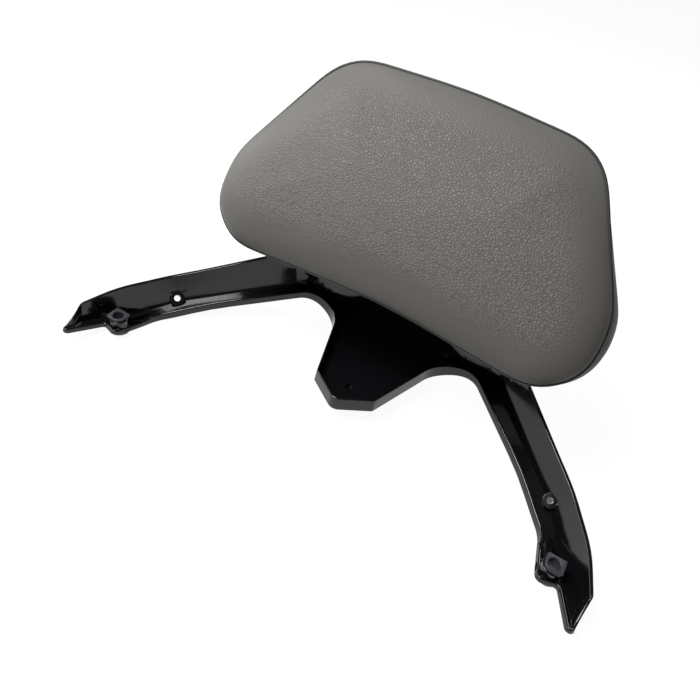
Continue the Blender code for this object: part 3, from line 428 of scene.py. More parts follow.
class Surface:
    """One procedural material with a Principled shader."""

    def __init__(self, name, colour, roughness, metallic=0.0):
        self.material = bpy.data.materials.new(name)
        self.material.use_nodes = True
        self.nodes = self.material.node_tree.nodes
        self.links = self.material.node_tree.links
        self.shader = self.nodes["Principled BSDF"]
        self.shader.inputs["Base Color"].default_value = (*colour, 1)
        self.shader.inputs["Roughness"].default_value = roughness
        self.shader.inputs["Metallic"].default_value = metallic
        self.colour = colour
        self.place = self.node("ShaderNodeTexCoord").outputs["Object"]

    def node(self, kind, inputs=None, **settings):
        """A new node with its settings, and its inputs given by name."""
        made = self.nodes.new(kind)
        for name, value in settings.items():
            setattr(made, name, value)
        for name, value in (inputs or {}).items():
            self.feed(made.inputs[name], value)
        return made

    def feed(self, socket, value):
        """Link an output to a socket, or set its value."""
        if isinstance(value, bpy.types.NodeSocket):
            self.links.new(value, socket)
        else:
            socket.default_value = value

    def set(self, name, value):
        """Set or link one socket of the shader."""
        self.feed(self.shader.inputs[name], value)

    def noise(self, size, detail=2.0, place=None):
        """Noise whose lumps are about one size, from 0 to 1."""
        inputs = {"Vector": place or self.place, "Scale": 1 / size, "Detail": detail}
        return self.node("ShaderNodeTexNoise", inputs).outputs["Fac"]

    def calculate(self, operation, first, second):
        """One math node."""
        made = self.node("ShaderNodeMath", operation=operation)
        self.feed(made.inputs[0], first)
        self.feed(made.inputs[1], second)
        return made.outputs[0]

    def remap(self, value, low, high, new_low, new_high):
        """A value moved from one range to another and kept inside it."""
        inputs = {
            "Value": value, "From Min": low, "From Max": high,
            "To Min": new_low, "To Max": new_high,
        }
        return self.node("ShaderNodeMapRange", inputs).outputs["Result"]

    def mix_colours(self, share, first, second):
        """Two colours mixed by a share."""
        made = self.node("ShaderNodeMix", data_type="RGBA")
        self.feed(made.inputs["Factor"], share)
        for socket, colour in ((made.inputs[6], first), (made.inputs[7], second)):
            self.feed(socket, colour if isinstance(colour, bpy.types.NodeSocket) else (*colour, 1))
        return made.outputs[2]

    def bump(self, height, depth, strength=1.0, below=None):
        """A bump of a real depth, and on top of another one if given."""
        inputs = {"Height": height, "Distance": depth, "Strength": strength}
        if below is not None:
            inputs["Normal"] = below
        return self.node("ShaderNodeBump", inputs).outputs["Normal"]


def shade(colour, factor):
    """A colour made lighter or darker."""
    return tuple(channel * factor for channel in colour)


def leatherette(name, colour, pebble, depth, roughness):
    """Grained leatherette: pebbles with fine valleys, smoother where the cover is stretched, with
    painted shade in the valleys and near the seam.
    """
    surface = Surface(name, colour, roughness)
    # The grain attribute gives the grain's strength and also how much painted shade the colour gets
    # near the seam.
    grain = surface.node("ShaderNodeAttribute", attribute_name="grain").outputs["Fac"]
    warp = surface.node(
        "ShaderNodeTexNoise",
        {"Vector": surface.place, "Scale": 1 / (2.2 * pebble), "Detail": 2.0},
    ).outputs["Color"]
    warped = surface.node("ShaderNodeVectorMath", operation="MULTIPLY_ADD")
    surface.feed(warped.inputs[0], warp)
    surface.feed(warped.inputs[1], (1.3 * pebble, 1.3 * pebble, 1.3 * pebble))
    surface.feed(warped.inputs[2], surface.place)
    cells = surface.node(
        "ShaderNodeTexVoronoi",
        {"Vector": warped.outputs[0], "Scale": 1 / pebble, "Randomness": 1.0},
        feature="DISTANCE_TO_EDGE",
    ).outputs["Distance"]
    pebbles = surface.remap(cells, 0.0, 0.28, 0.0, 1.0)
    fine = surface.noise(0.3 * pebble)
    patches = surface.noise(34 * MM, 3.0)
    # Painted shade in the pebbles' valleys: their colour is darkened towards half.
    valley_painted_shade = surface.calculate("MULTIPLY", surface.remap(pebbles, 0.0, 0.6, 0.75, 0.0), grain)
    tone = surface.mix_colours(patches, shade(colour, 0.93), shade(colour, 1.07))
    # Painted shade: the colour is darkened where the grain attribute is weak, near the seam, where the
    # cover rolls away from the light.
    tone = surface.mix_colours(grain, shade(colour, EDGE_PAINTED_SHADE), tone)
    surface.set("Base Color", surface.mix_colours(valley_painted_shade, tone, shade(colour, 0.5)))
    rough = surface.calculate("ADD", surface.remap(patches, 0.3, 0.7, -0.04, 0.04), roughness)
    surface.set("Roughness", rough)
    height = surface.calculate("MULTIPLY_ADD", fine, 0.2)
    surface.feed(height.node.inputs[2], pebbles)
    surface.set("Normal", surface.bump(surface.calculate("MULTIPLY", height, grain), depth, 0.8))
    surface.set("Specular IOR Level", 0.25)
    return surface.material


def gloss_paint(name, colour):
    """Gloss black paint on a casting, with the faint waviness of a sprayed coat."""
    surface = Surface(name, colour, 0.1)
    waves = surface.noise(7 * MM, 1.0)
    specks = surface.noise(1.2 * MM, 2.0)
    surface.set("Roughness", surface.remap(specks, 0.35, 0.7, 0.09, 0.15))
    below = surface.bump(waves, 0.05 * MM, 0.5)
    surface.set("Normal", surface.bump(specks, 0.01 * MM, 0.3, below))
    surface.set("Specular IOR Level", 0.5)
    return surface.material


def moulded_plastic(name, colour):
    """Black plastic with a fine spark eroded texture."""
    surface = Surface(name, colour, 0.5)
    grain = surface.noise(0.7 * MM, 3.0)
    cloud = surface.noise(40 * MM, 2.0)
    surface.set("Base Color", surface.mix_colours(cloud, shade(colour, 0.85), shade(colour, 1.2)))
    surface.set("Roughness", surface.remap(grain, 0.3, 0.7, 0.42, 0.6))
    surface.set("Normal", surface.bump(grain, 0.05 * MM, 0.5))
    return surface.material


def plated_metal(name, colour, roughness, metallic):
    """Plated or oxidised steel or brass with faint turning marks and blotches."""
    surface = Surface(name, colour, roughness, metallic)
    blotch = surface.noise(5 * MM, 3.0)
    marks = surface.noise(0.5 * MM, 2.0)
    surface.set("Base Color", surface.mix_colours(blotch, shade(colour, 0.8), shade(colour, 1.2)))
    rough = surface.remap(blotch, 0.3, 0.7, roughness - 0.08, roughness + 0.08)
    surface.set("Roughness", rough)
    surface.set("Normal", surface.bump(marks, 0.03 * MM, 0.4))
    return surface.material


def open_foam(name, colour):
    """Open cell foam."""
    surface = Surface(name, colour, 0.95)
    cells = surface.node(
        "ShaderNodeTexVoronoi", {"Vector": surface.place, "Scale": 1 / (1.1 * MM)},
    ).outputs["Distance"]
    dark = surface.mix_colours(surface.remap(cells, 0.1, 0.6, 0.0, 1.0), shade(colour, 1.1),
                               shade(colour, 0.5))
    surface.set("Base Color", dark)
    surface.set("Normal", surface.bump(cells, 0.4 * MM, 0.8))
    return surface.material


def woven_cord(name, colour):
    """Black covered cord."""
    surface = Surface(name, colour, 0.5)
    twist = surface.noise(0.8 * MM, 2.0)
    surface.set("Base Color", surface.mix_colours(twist, shade(colour, 0.7), shade(colour, 1.6)))
    surface.set("Normal", surface.bump(twist, 0.1 * MM, 0.5))
    return surface.material


# Pad


def pad_matrix():
    """From the pad's own frame to the world."""
    up = Vector((0, math.cos(PAD_ANGLE), math.sin(PAD_ANGLE)))
    front = Vector((0, -math.sin(PAD_ANGLE), math.cos(PAD_ANGLE)))
    turn = Matrix(((1, up.x, front.x), (0, up.y, front.y), (0, up.z, front.z))).to_4x4()
    return Matrix.Translation(PAD_FOOT) @ turn


PAD_TO_WORLD = pad_matrix()
PAD_AXIS = PAD_TO_WORLD.to_3x3() @ Vector((0, 0, 1))


def seam_outline():
    """The seam's evenly spaced points in the pad's plane."""
    points = even_loop(rounded_loop(mirrored(PAD_CORNERS)), SEAM_POINTS)
    return smoothed_loop(points, SEAM_SMOOTHING)


def seam_distance(place, seam):
    """How far a point of the plane is from the seam."""
    return min(
        (place - place_on_line(place, here, after)).length
        for here, after in zip(seam, seam[1:] + seam[:1])
    )


def place_on_line(place, start, end):
    """The nearest point on a straight stretch."""
    along = end - start
    share = min(max((place - start).dot(along) / along.length_squared, 0), 1)
    return start + along * share


def front_height(place, seam):
    """How far the front stands out of the seam's plane; its roll is flatter at the top."""
    distance = seam_distance(place, seam)
    roll = min(distance / EDGE_ROLL, 1)
    height = EDGE_ROLL_HEIGHT * (1 - TOP_FLATTENING * smooth_step(place.y, *TOP_BLEND))
    crown = (CROWN_HEIGHT - height) * smooth_step(distance, 0, CROWN_REACH)
    return height * math.sqrt(1 - (1 - roll) ** 2) + crown


def centre_grid(ring):
    """Coons patch: rows of places inside a ring, which is cut into four equal sides."""
    side = len(ring) // 4
    corner = side // 2
    right = [ring[(corner + step) % len(ring)] for step in range(side + 1)]
    top = [ring[(corner + side + step) % len(ring)] for step in range(side + 1)]
    left = [ring[(corner + 3 * side - step) % len(ring)] for step in range(side + 1)]
    bottom = [ring[(corner - step) % len(ring)] for step in range(side + 1)]
    top = top[::-1]
    bottom = bottom[::-1]
    rows = []
    for row in range(side + 1):
        up = row / side
        places = []
        for column in range(side + 1):
            across = column / side
            sides = left[row] * (1 - across) + right[row] * across
            ends = bottom[column] * (1 - up) + top[column] * up
            corners = (
                bottom[0] * (1 - across) * (1 - up) + bottom[-1] * across * (1 - up)
                + top[0] * (1 - across) * up + top[-1] * across * up
            )
            places.append(sides + ends - corners)
        rows.append(places)
    return rows


def fill_centre(bm, ring, seam):
    """Close the front's innermost ring with a square grid of quads."""
    side = len(ring) // 4
    corner = side // 2
    flat = [vertex.co.xy for vertex in ring]
    rows = centre_grid(flat)
    vertices = {}
    for step in range(side + 1):
        vertices[(step, side)] = ring[(corner + step) % len(ring)]
        vertices[(side, side - step)] = ring[(corner + side + step) % len(ring)]
        vertices[(step, 0)] = ring[(corner + 3 * side - step) % len(ring)]
        vertices[(0, side - step)] = ring[(corner - step) % len(ring)]
    for row in range(1, side):
        for column in range(1, side):
            place = rows[row][column]
            height = front_height(place, seam)
            vertices[(row, column)] = bm.verts.new((place.x, place.y, height))
    for row in range(side):
        for column in range(side):
            bm.faces.new((
                vertices[(row, column)], vertices[(row, column + 1)],
                vertices[(row + 1, column + 1)], vertices[(row + 1, column)],
            ))


def band_offset(point, normal, depth_share):
    """How far the side band's face lies outside the seam, for a share of its depth."""
    side = abs(normal.x) ** 1.5
    bulge = BOTTOM_BULGE + (between(point.y, BULGE_HEIGHTS, BULGES) - BOTTOM_BULGE) * side
    taper = between(point.y, BULGE_HEIGHTS, TAPERS)
    return bulge * 4 * depth_share * (1 - depth_share) - taper * depth_share ** 2


def pad_body():
    """A closed mesh of the pad: front, band and flat back, with the rings it was made from."""
    seam = seam_outline()
    normals = loop_normals(seam)
    bm = bmesh.new()
    rings = {"front": [], "band": []}
    for step in range(FRONT_RINGS, 0, -1):
        share = (1 - GRID_SHARE) * (step / FRONT_RINGS) ** FRONT_RING_POWER
        ring = []
        for point in seam:
            place = point.lerp(PAD_MIDDLE, share)
            ring.append(bm.verts.new((place.x, place.y, front_height(place, seam))))
        rings["front"].append(ring)
    seam_ring = [bm.verts.new((*point, 0)) for point in seam]
    rings["front"].append(seam_ring)
    rings["band"].append(seam_ring)
    for step in range(1, BAND_RINGS + 1):
        share = step / BAND_RINGS
        ring = []
        for point, normal in zip(seam, normals):
            place = point + normal * band_offset(point, normal, share)
            ring.append(bm.verts.new((place.x, place.y, -share * BAND_DEPTH)))
        rings["band"].append(ring)
    for group in rings.values():
        for lower, upper in zip(group, group[1:]):
            bridge(bm, upper, lower)
    fill_centre(bm, rings["front"][0], seam)
    back = rings["band"][-1]
    middle = bm.verts.new((PAD_MIDDLE.x, PAD_MIDDLE.y, back[0].co.z))
    for here, after in zip(back, back[1:] + back[:1]):
        bm.faces.new((after, here, middle))
    bmesh.ops.recalc_face_normals(bm, faces=bm.faces)
    return bm, rings, seam


def inflate(item, pinned):
    """Let the cover swell against its pinned seams, by a limited way, and keep the result."""
    group = item.vertex_groups.new(name="pinned")
    group.add(pinned, 1.0, "REPLACE")
    cloth = item.modifiers.new("cover", "CLOTH")
    settings = cloth.settings
    settings.quality = 6
    settings.mass = 0.3
    settings.tension_stiffness = 30
    settings.compression_stiffness = 30
    settings.shear_stiffness = 12
    settings.bending_stiffness = 4
    settings.use_pressure = True
    settings.uniform_pressure_force = CLOTH_PRESSURE
    settings.effector_weights.gravity = 0
    settings.vertex_group_mass = "pinned"
    cloth.point_cache.frame_start = 1
    cloth.point_cache.frame_end = CLOTH_FRAMES
    scene = bpy.context.scene
    for frame_number in range(1, CLOTH_FRAMES + 1):
        scene.frame_set(frame_number)
    evaluated = item.evaluated_get(bpy.context.evaluated_depsgraph_get())
    swollen = [vertex.co.copy() for vertex in evaluated.data.vertices]
    item.modifiers.remove(cloth)
    scene.frame_set(1)
    steps = []
    for vertex, place in zip(item.data.vertices, swollen):
        step = place - vertex.co
        steps.append(step * min(1, CLOTH_CAP / max(step.length, MERGE)))
    reach = max(step.length for step in steps)
    steps = even_steps(item.data, steps, set(pinned))
    for vertex, step in zip(item.data.vertices, steps):
        vertex.co += step
    print(f"SWELL up to {reach / MM:.1f} mm, {max(step.length for step in steps) / MM:.1f} mm evened")


def even_steps(mesh, steps, pinned):
    """Average each point's step with its neighbours', so that the cover stays free of creases."""
    around = [[] for _ in steps]
    for edge in mesh.edges:
        first, second = edge.vertices
        around[first].append(second)
        around[second].append(first)
    for _ in range(CLOTH_EVENING):
        steps = [
            steps[index] if index in pinned
            else (steps[index] + sum((steps[other] for other in around[index]), Vector()))
            / (len(around[index]) + 1)
            for index in range(len(steps))
        ]
    return steps


def set_grain_and_edge_shade(mesh, seam, strong, weak):
    """Grain strength for each point: weak near the seam, where the cover is stretched. The same value
    sets how much painted shade darkens the colour there.
    """
    grain = mesh.attributes.new("grain", "FLOAT", "POINT")
    for index, vertex in enumerate(mesh.vertices):
        distance = seam_distance(vertex.co.xy, seam)
        grain.data[index].value = weak + (strong - weak) * smooth_step(distance, 4 * MM, 40 * MM)


def split_off(body, name, keep):
    """A new object with the faces of the body that keep() accepts."""
    bm = bmesh.new()
    bm.from_mesh(body.data)
    drop = [face for face in bm.faces if not keep(face.index)]
    bmesh.ops.delete(bm, geom=drop, context="FACES")
    return make_object(name, bm)


def thicken(item, thickness):
    """Subdivide a cover's skin once and give it its thickness, inwards."""
    fine = item.modifiers.new("fine", "SUBSURF")
    fine.levels = 1
    fine.render_levels = 1
    solid = item.modifiers.new("thickness", "SOLIDIFY")
    solid.thickness = thickness
    solid.offset = -1
    apply_modifiers(item)


def build_pad(materials):
    """The cover's front, the side band and the piping between them."""
    bm, rings, seam = pad_body()
    bm.verts.index_update()
    bm.faces.index_update()
    front_faces = {
        face.index for face in bm.faces
        if min(vertex.co.z for vertex in face.verts) > -0.01 * MM
    }
    back_level = rings["band"][-1][0].co.z
    back_faces = {
        face.index for face in bm.faces
        if max(vertex.co.z for vertex in face.verts) < back_level + 0.01 * MM
    }
    pinned = [vertex.index for vertex in rings["band"][0]]
    pinned += [vertex.index for vertex in bm.verts if vertex.co.z < back_level + 0.01 * MM]
    body = make_object("pad_body", bm)
    inflate(body, pinned)
    front = split_off(body, "cover_front", lambda index: index in front_faces)
    band = split_off(
        body, "cover_band", lambda index: index not in front_faces and index not in back_faces,
    )
    bpy.data.objects.remove(body)
    thicken(front, COVER_THICKNESS)
    thicken(band, COVER_THICKNESS)
    # The grain values also set the painted shade: the front darker near the seam, the band evenly.
    set_grain_and_edge_shade(front.data, seam, 1.0, 0.15)
    set_grain_and_edge_shade(band.data, seam, 0.5, 0.5)
    front.data.materials.append(materials["front"])
    band.data.materials.append(materials["side"])
    piping = build_piping(seam)
    piping.data.materials.append(materials["cord"])
    hem = build_hem(seam)
    hem.data.materials.append(materials["side"])
    for item in (front, band, piping, hem):
        item.data.transform(PAD_TO_WORLD)
        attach(item, "root")
    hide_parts("front_cover", "pad_foam")
    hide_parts("side_band")
    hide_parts("seam_piping")
    return front, band, piping, hem


def build_piping(seam):
    """The cord in the seam."""
    normals = loop_normals(seam)
    bm = bmesh.new()
    rings = []
    for side in range(PIPING_SIDES):
        angle = math.tau * side / PIPING_SIDES
        rings.append([
            bm.verts.new((*(point + normal * PIPING_RADIUS * math.cos(angle)),
                          PIPING_RADIUS * math.sin(angle)))
            for point, normal in zip(seam, normals)
        ])
    for lower, upper in zip(rings, rings[1:] + rings[:1]):
        bridge(bm, lower, upper)
    bmesh.ops.recalc_face_normals(bm, faces=bm.faces)
    return make_object("piping_cord", bm)


def build_hem(seam):
    """The band's hem, folded over the shell's back, with small gathers."""
    normals = loop_normals(seam)
    rings = []
    bm = bmesh.new()
    section = ((0.0, 0.0), (0.25, 1.0), (0.6, 1.3), (1.0, 1.2), (1.0, 0.4), (0.5, 0.4), (0.1, 0.2))
    for across, depth in section:
        ring = []
        for index, (point, normal) in enumerate(zip(seam, normals)):
            gather = 0.35 * MM * math.sin(index * 2.6) * across * (1 if depth > 1 else 0)
            edge = point + normal * (band_offset(point, normal, 1) - across * HEM_WIDTH)
            ring.append(bm.verts.new((edge.x, edge.y, -BAND_DEPTH - depth * 1.2 * MM - gather)))
        rings.append(ring)
    for lower, upper in zip(rings, rings[1:] + rings[:1]):
        bridge(bm, lower, upper)
    bmesh.ops.recalc_face_normals(bm, faces=bm.faces)
    hem = make_object("cover_hem", bm)
    fine = hem.modifiers.new("fine", "SUBSURF")
    fine.levels = 1
    fine.render_levels = 1
    apply_modifiers(hem)
    # The hem's grain value also darkens its colour evenly with painted shade.
    set_grain_and_edge_shade(hem.data, seam, 0.5, 0.5)
    return hem


# Bracket


def bracket_loop(insets):
    """The bracket's plan with each edge moved inwards."""
    return rounded_loop(mirrored(BRACKET_CORNERS), insets)


def both_sides(right_edges):
    """One value for each edge of the mirrored plan, from the right half's values."""
    return list(right_edges) + list(right_edges[-2::-1])


def outer_shares():
    """1 for points on the tall outer wall, 0 on the low inner rims, even in between."""
    corners = mirrored(BRACKET_CORNERS)
    values = list(OUTER_SHARES) + list(OUTER_SHARES[:0:-1])
    shares = []
    for index in range(len(corners)):
        here = values[index]
        after = values[(index + 1) % len(values)]
        shares += [here] * (corner_steps(corners, index) + 1)
        pieces = edge_pieces(corners, index)
        shares += [here + (after - here) * piece / pieces for piece in range(1, pieces)]
    return shares


def blend_lines(value, knee, front_slope, rear_slope, blend):
    """Two straight slopes joined by a round knee; 0 on the knee's sharp corner."""
    middle = (front_slope + rear_slope) / 2
    half_turn = (rear_slope - front_slope) / 2
    return middle * (value - knee) + half_turn * math.hypot(value - knee, blend)


def underside(x, y):
    """Height of the casting's underside."""
    arm = KNEE_UNDERSIDE + blend_lines(y, KNEE_Y, -FRONT_SLOPE, REAR_SLOPE, KNEE_BLEND)
    share = smooth_step(abs(x), TONGUE_EDGE_X, ARM_EDGE_X)
    return TONGUE_UNDERSIDE + (arm - TONGUE_UNDERSIDE) * share


def outer_rim(y):
    """Height of the rim along the arms' outer wall."""
    rise = blend_lines(y, RIM_BEND_Y, RIM_FRONT_SLOPE, RIM_REAR_SLOPE, RIM_BEND_BLEND)
    return RIM_BEND_HEIGHT + rise


def inner_depth(x, y):
    """Height of the inner rim above the underside."""
    ledge = 1 - smooth_step(y, LEDGE_END_Y, LEDGE_START_Y) if abs(x) > ARM_EDGE_X else 0.0
    lip = INNER_LIP_DEPTH + (EAR_LEDGE_DEPTH - INNER_LIP_DEPTH) * ledge
    share = smooth_step(abs(x), TONGUE_EDGE_X, ARM_EDGE_X)
    return TONGUE_DEPTH + (lip - TONGUE_DEPTH) * share


def quarter_turn():
    """(1 - cosine, sine) pairs along a quarter of a turn."""
    angles = [math.pi / 2 * step / ROUND_STEPS for step in range(ROUND_STEPS + 1)]
    return [(1 - math.cos(angle), math.sin(angle)) for angle in angles]


def fill_ring(bm, ring, spacing=None):
    """Triangles across a level ring of vertices, with inner vertices on a square grid."""
    count = len(ring)
    border = [vertex.co.xy for vertex in ring]
    level = ring[0].co.z
    points = list(border)
    if spacing is not None:
        reach_x = round(max(abs(point.x) for point in border) / spacing)
        reach_y = round(max(abs(point.y) for point in border) / spacing)
        for column in range(-reach_x, reach_x + 1):
            for row in range(-reach_y, reach_y + 1):
                point = Vector((column * spacing, row * spacing))
                nearest = min((point - other).length for other in border)
                if nearest > GRID_CLEAR_SHARE * spacing:
                    points.append(point)
    edges = [(index, (index + 1) % count) for index in range(count)]
    places, _, triangles, origins, _, _ = geometry.delaunay_2d_cdt(points, edges, [], 1, 1e-8)
    vertices = {}
    for triangle in triangles:
        for index in triangle:
            if index in vertices:
                continue
            source = min(origins[index])
            if source < count:
                vertices[index] = ring[source]
            else:
                vertices[index] = bm.verts.new((*places[index], level))
        bm.faces.new([vertices[index] for index in triangle])


def solid_from_rings(rings, spacing=None):
    """A bmesh through a list of rings of points, closed at both ends."""
    bm = bmesh.new()
    made = [[bm.verts.new(point) for point in ring] for ring in rings]
    for lower, upper in zip(made, made[1:]):
        bridge(bm, lower, upper)
    fill_ring(bm, made[0], spacing)
    fill_ring(bm, made[-1], spacing)
    return bm


def tool_object(bm):
    """A closed solid for joining or cutting."""
    bmesh.ops.recalc_face_normals(bm, faces=bm.faces)
    bmesh.ops.triangulate(bm, faces=bm.faces)
    return make_object("tool", bm)


def turned_tool(profile, start, axis=(0, 0, 1)):
    """A solid turned from (radius, height) points, stood on a point, along an axis."""
    angles = [math.tau * side / TURNED_SIDES for side in range(TURNED_SIDES)]
    bm = solid_from_rings([
        [(radius * math.cos(angle), radius * math.sin(angle), height) for angle in angles]
        for radius, height in profile
    ])
    turn = Vector(axis).to_track_quat("Z", "Y").to_matrix().to_4x4()
    bm.transform(Matrix.Translation(start) @ turn)
    return tool_object(bm)


def drill(radius, start, axis=(0, 0, 1), reach=THROUGH):
    """A round cutter through a point, along an axis."""
    return turned_tool([(radius, -reach), (radius, reach)], start, axis)


def combine(target, tools, operation):
    """Apply one exact Boolean with many tools and remove them."""
    collection = bpy.data.collections.new(operation)
    bpy.context.scene.collection.children.link(collection)
    for tool in tools:
        bpy.context.scene.collection.objects.unlink(tool)
        collection.objects.link(tool)
    modifier = target.modifiers.new(operation, "BOOLEAN")
    modifier.operation = operation
    modifier.solver = "EXACT"
    modifier.operand_type = "COLLECTION"
    modifier.collection = collection
    apply_modifiers(target)
    for tool in tools:
        bpy.data.objects.remove(tool, do_unlink=True)
    bpy.data.collections.remove(collection)
    bm = bmesh.new()
    bm.from_mesh(target.data)
    bmesh.ops.remove_doubles(bm, verts=bm.verts, dist=MERGE)
    bmesh.ops.dissolve_degenerate(bm, edges=bm.edges, dist=MERGE)
    bmesh.ops.triangulate(bm, faces=bm.faces)
    bm.to_mesh(target.data)
    bm.free()


def build_tray():
    """The casting's tray: floor, drafted walls and rounded rims, in one closed skin."""
    walls = both_sides([
        OUTER_WALL if kind in FLANKED_EDGES else INNER_WALL for kind in BRACKET_EDGES
    ])
    runs = both_sides([FLANKED_EDGES.get(kind, FOOT_FILLET) for kind in BRACKET_EDGES])
    depths = []
    for point, share in zip(bracket_loop(0.0), outer_shares()):
        inner = inner_depth(point.x, point.y)
        outer = outer_rim(point.y) - underside(point.x, point.y)
        depths.append(inner + (outer - inner) * share)
    rings = []

    def add_ring(wall_share, run_share, extra, height):
        insets = [
            wall * wall_share + run * run_share + extra for wall, run in zip(walls, runs)
        ]
        loop = bracket_loop(insets)
        rings.append([(point.x, point.y, height(depth)) for point, depth in zip(loop, depths)])

    for rise, run in quarter_turn():
        add_ring(0, 0, UNDERSIDE_ROUND * (1 - run), lambda depth, rise=rise: UNDERSIDE_ROUND * rise)
    for run, rise in quarter_turn():
        add_ring(0, 0, WALL_DRAFT + RIM_ROUND * run,
                 lambda depth, rise=rise: depth - RIM_ROUND * (1 - rise))
    for drop, run in quarter_turn():
        add_ring(1, 0, RIM_INNER_ROUND * (run - 1),
                 lambda depth, drop=drop: depth - RIM_INNER_ROUND * drop)
    for run, rise in FLANK_PROFILE:
        add_ring(1, run, 0, lambda depth, rise=rise: (
            FLOOR_THICKNESS + rise * (depth - RIM_INNER_ROUND - FLOOR_THICKNESS)
        ))
    bm = solid_from_rings(rings, FLOOR_GRID)
    for vertex in bm.verts:
        vertex.co.z += underside(vertex.co.x, vertex.co.y)
    bmesh.ops.recalc_face_normals(bm, faces=bm.faces)
    return make_object("bracket_body", bm)


def on_pad(u, v, w):
    """Place in the bracket's frame of a point given in the pad's frame."""
    return PAD_TO_WORLD @ Vector((u, v, w)) - Vector(BRACKET_PLACE)


def side_view(v, w):
    """(y, z) in the bracket's frame of a point given in the pad's frame."""
    return on_pad(0, v, w).yz


def filleted_path(knots, radius):
    """Points of an open plane path whose inner knots are all rounded to one radius."""
    places = [Vector(knot) for knot in knots]
    path = [places[0]]
    for before, here, after in zip(places, places[1:], places[2:]):
        along_in = (here - before).normalized()
        turn = turn_between(along_in, (after - here).normalized())
        tangent = radius * math.tan(abs(turn) / 2)
        steps = max(2, round(abs(turn) / FILLET_STEP))
        path += arc(here - along_in * tangent, along_in, turn, radius, steps)
    return path + [places[-1]]


def cut_long(path, longest):
    """The path with its long stretches cut into even pieces."""
    result = [path[0]]
    for before, after in zip(path, path[1:]):
        pieces = max(1, math.ceil((after - before).length / longest))
        result += [before.lerp(after, piece / pieces) for piece in range(1, pieces + 1)]
    return result


def riser_path():
    """The riser's back face in side view, from the tray's floor to the riser's top."""
    back_y = REAR_WALL_Y - RISER_BACK_INSET
    knots = [
        (back_y, TONGUE_UNDERSIDE + RISER_ROOT_RISE),
        (back_y, RISER_BEND_Z),
        side_view(RISER_CONTACT_START, RISER_BACK),
        side_view(RISER_TOP - RISER_TOP_CORNER, RISER_BACK),
    ]
    path = cut_long(filleted_path(knots, RISER_BEND_RADIUS), RISER_ROW_STEP)
    for step in range(1, RISER_TOP_STEPS + 1):
        reach = RISER_TOP_CORNER * math.sin(math.pi / 2 * step / RISER_TOP_STEPS)
        path.append(side_view(RISER_TOP - RISER_TOP_CORNER + reach, RISER_BACK))
    return path


def riser_half_length(place):
    """Half of the riser's width, measured along its section, at one place of its path."""
    half, level = RISER_NECK
    above = max(place.y, RISER_BEND_Z)
    half += blend_lines(above, level, -RISER_LOWER_LEAN, -RISER_UPPER_LEAN, RISER_NECK_BLEND)
    corner = place - Vector(side_view(RISER_TOP - RISER_TOP_CORNER, RISER_BACK))
    along = Vector((math.cos(PAD_ANGLE), math.sin(PAD_ANGLE)))
    rise = min(max(corner.dot(along) / RISER_TOP_CORNER, 0), 1)
    return half - RISER_TOP_CORNER * (1 - math.sqrt(1 - rise * rise))


def riser_curl(length):
    """(x, forward) of a point along the rear wall's bend, for a length from the middle."""
    centre_x = REAR_CORNER_X - REAR_CORNER_RADIUS * math.tan(REAR_CORNER_TURN / 2)
    radius = REAR_CORNER_RADIUS - RISER_BACK_INSET
    bent = min(max(length - centre_x, 0) / radius, REAR_CORNER_TURN)
    beyond = max(length - centre_x - radius * REAR_CORNER_TURN, 0)
    x = min(length, centre_x) + radius * math.sin(bent) + beyond * math.cos(REAR_CORNER_TURN)
    forward = radius * (1 - math.cos(bent)) + beyond * math.sin(REAR_CORNER_TURN)
    return x, forward


def riser_back_row(place, shares, root_y):
    """The points of the riser's back face at one place of its path."""
    half = riser_half_length(place)
    flat = smooth_step(place.y, RISER_BEND_Z, RISER_FLAT_Z)
    height_share = min((place.y - root_y) / (RISER_BEND_Z - root_y), 1)
    row = []
    for share in shares:
        length = abs(share) * half
        x, forward = riser_curl(length)
        x += (length - x) * flat
        point = Vector((math.copysign(x, share), place.x - forward * (1 - flat), place.y))
        root = underside(point.x, point.y) + RISER_ROOT_RISE
        point.z += (root - root_y) * (1 - height_share)
        row.append(point)
    return row


def half_round(start, finish_point, outward):
    """The inner points of a half circle between two points, swelling outward."""
    middle = (start + finish_point) / 2
    spoke = start - middle
    points = []
    for step in range(1, EDGE_ROUND_STEPS):
        angle = math.pi * step / EDGE_ROUND_STEPS
        points.append(middle + spoke * math.cos(angle) + outward * spoke.length * math.sin(angle))
    return points


def loft(rings, columns, edge):
    """A solid through rings of front points, edge points, rear points and edge points."""
    bm = bmesh.new()
    made = [[bm.verts.new(point) for point in ring] for ring in rings]
    for lower, upper in zip(made, made[1:]):
        bridge(bm, lower, upper)
    for ring in (made[0], made[-1]):
        front = ring[:columns]
        back = ring[columns + edge:2 * columns + edge][::-1]
        for index in range(columns - 1):
            bm.faces.new((front[index], front[index + 1], back[index + 1], back[index]))
        if edge:
            bm.faces.new(ring[columns - 1:columns + edge + 1])
            bm.faces.new([ring[2 * columns + edge - 1], *ring[2 * columns + edge:], ring[0]])
    return tool_object(bm)


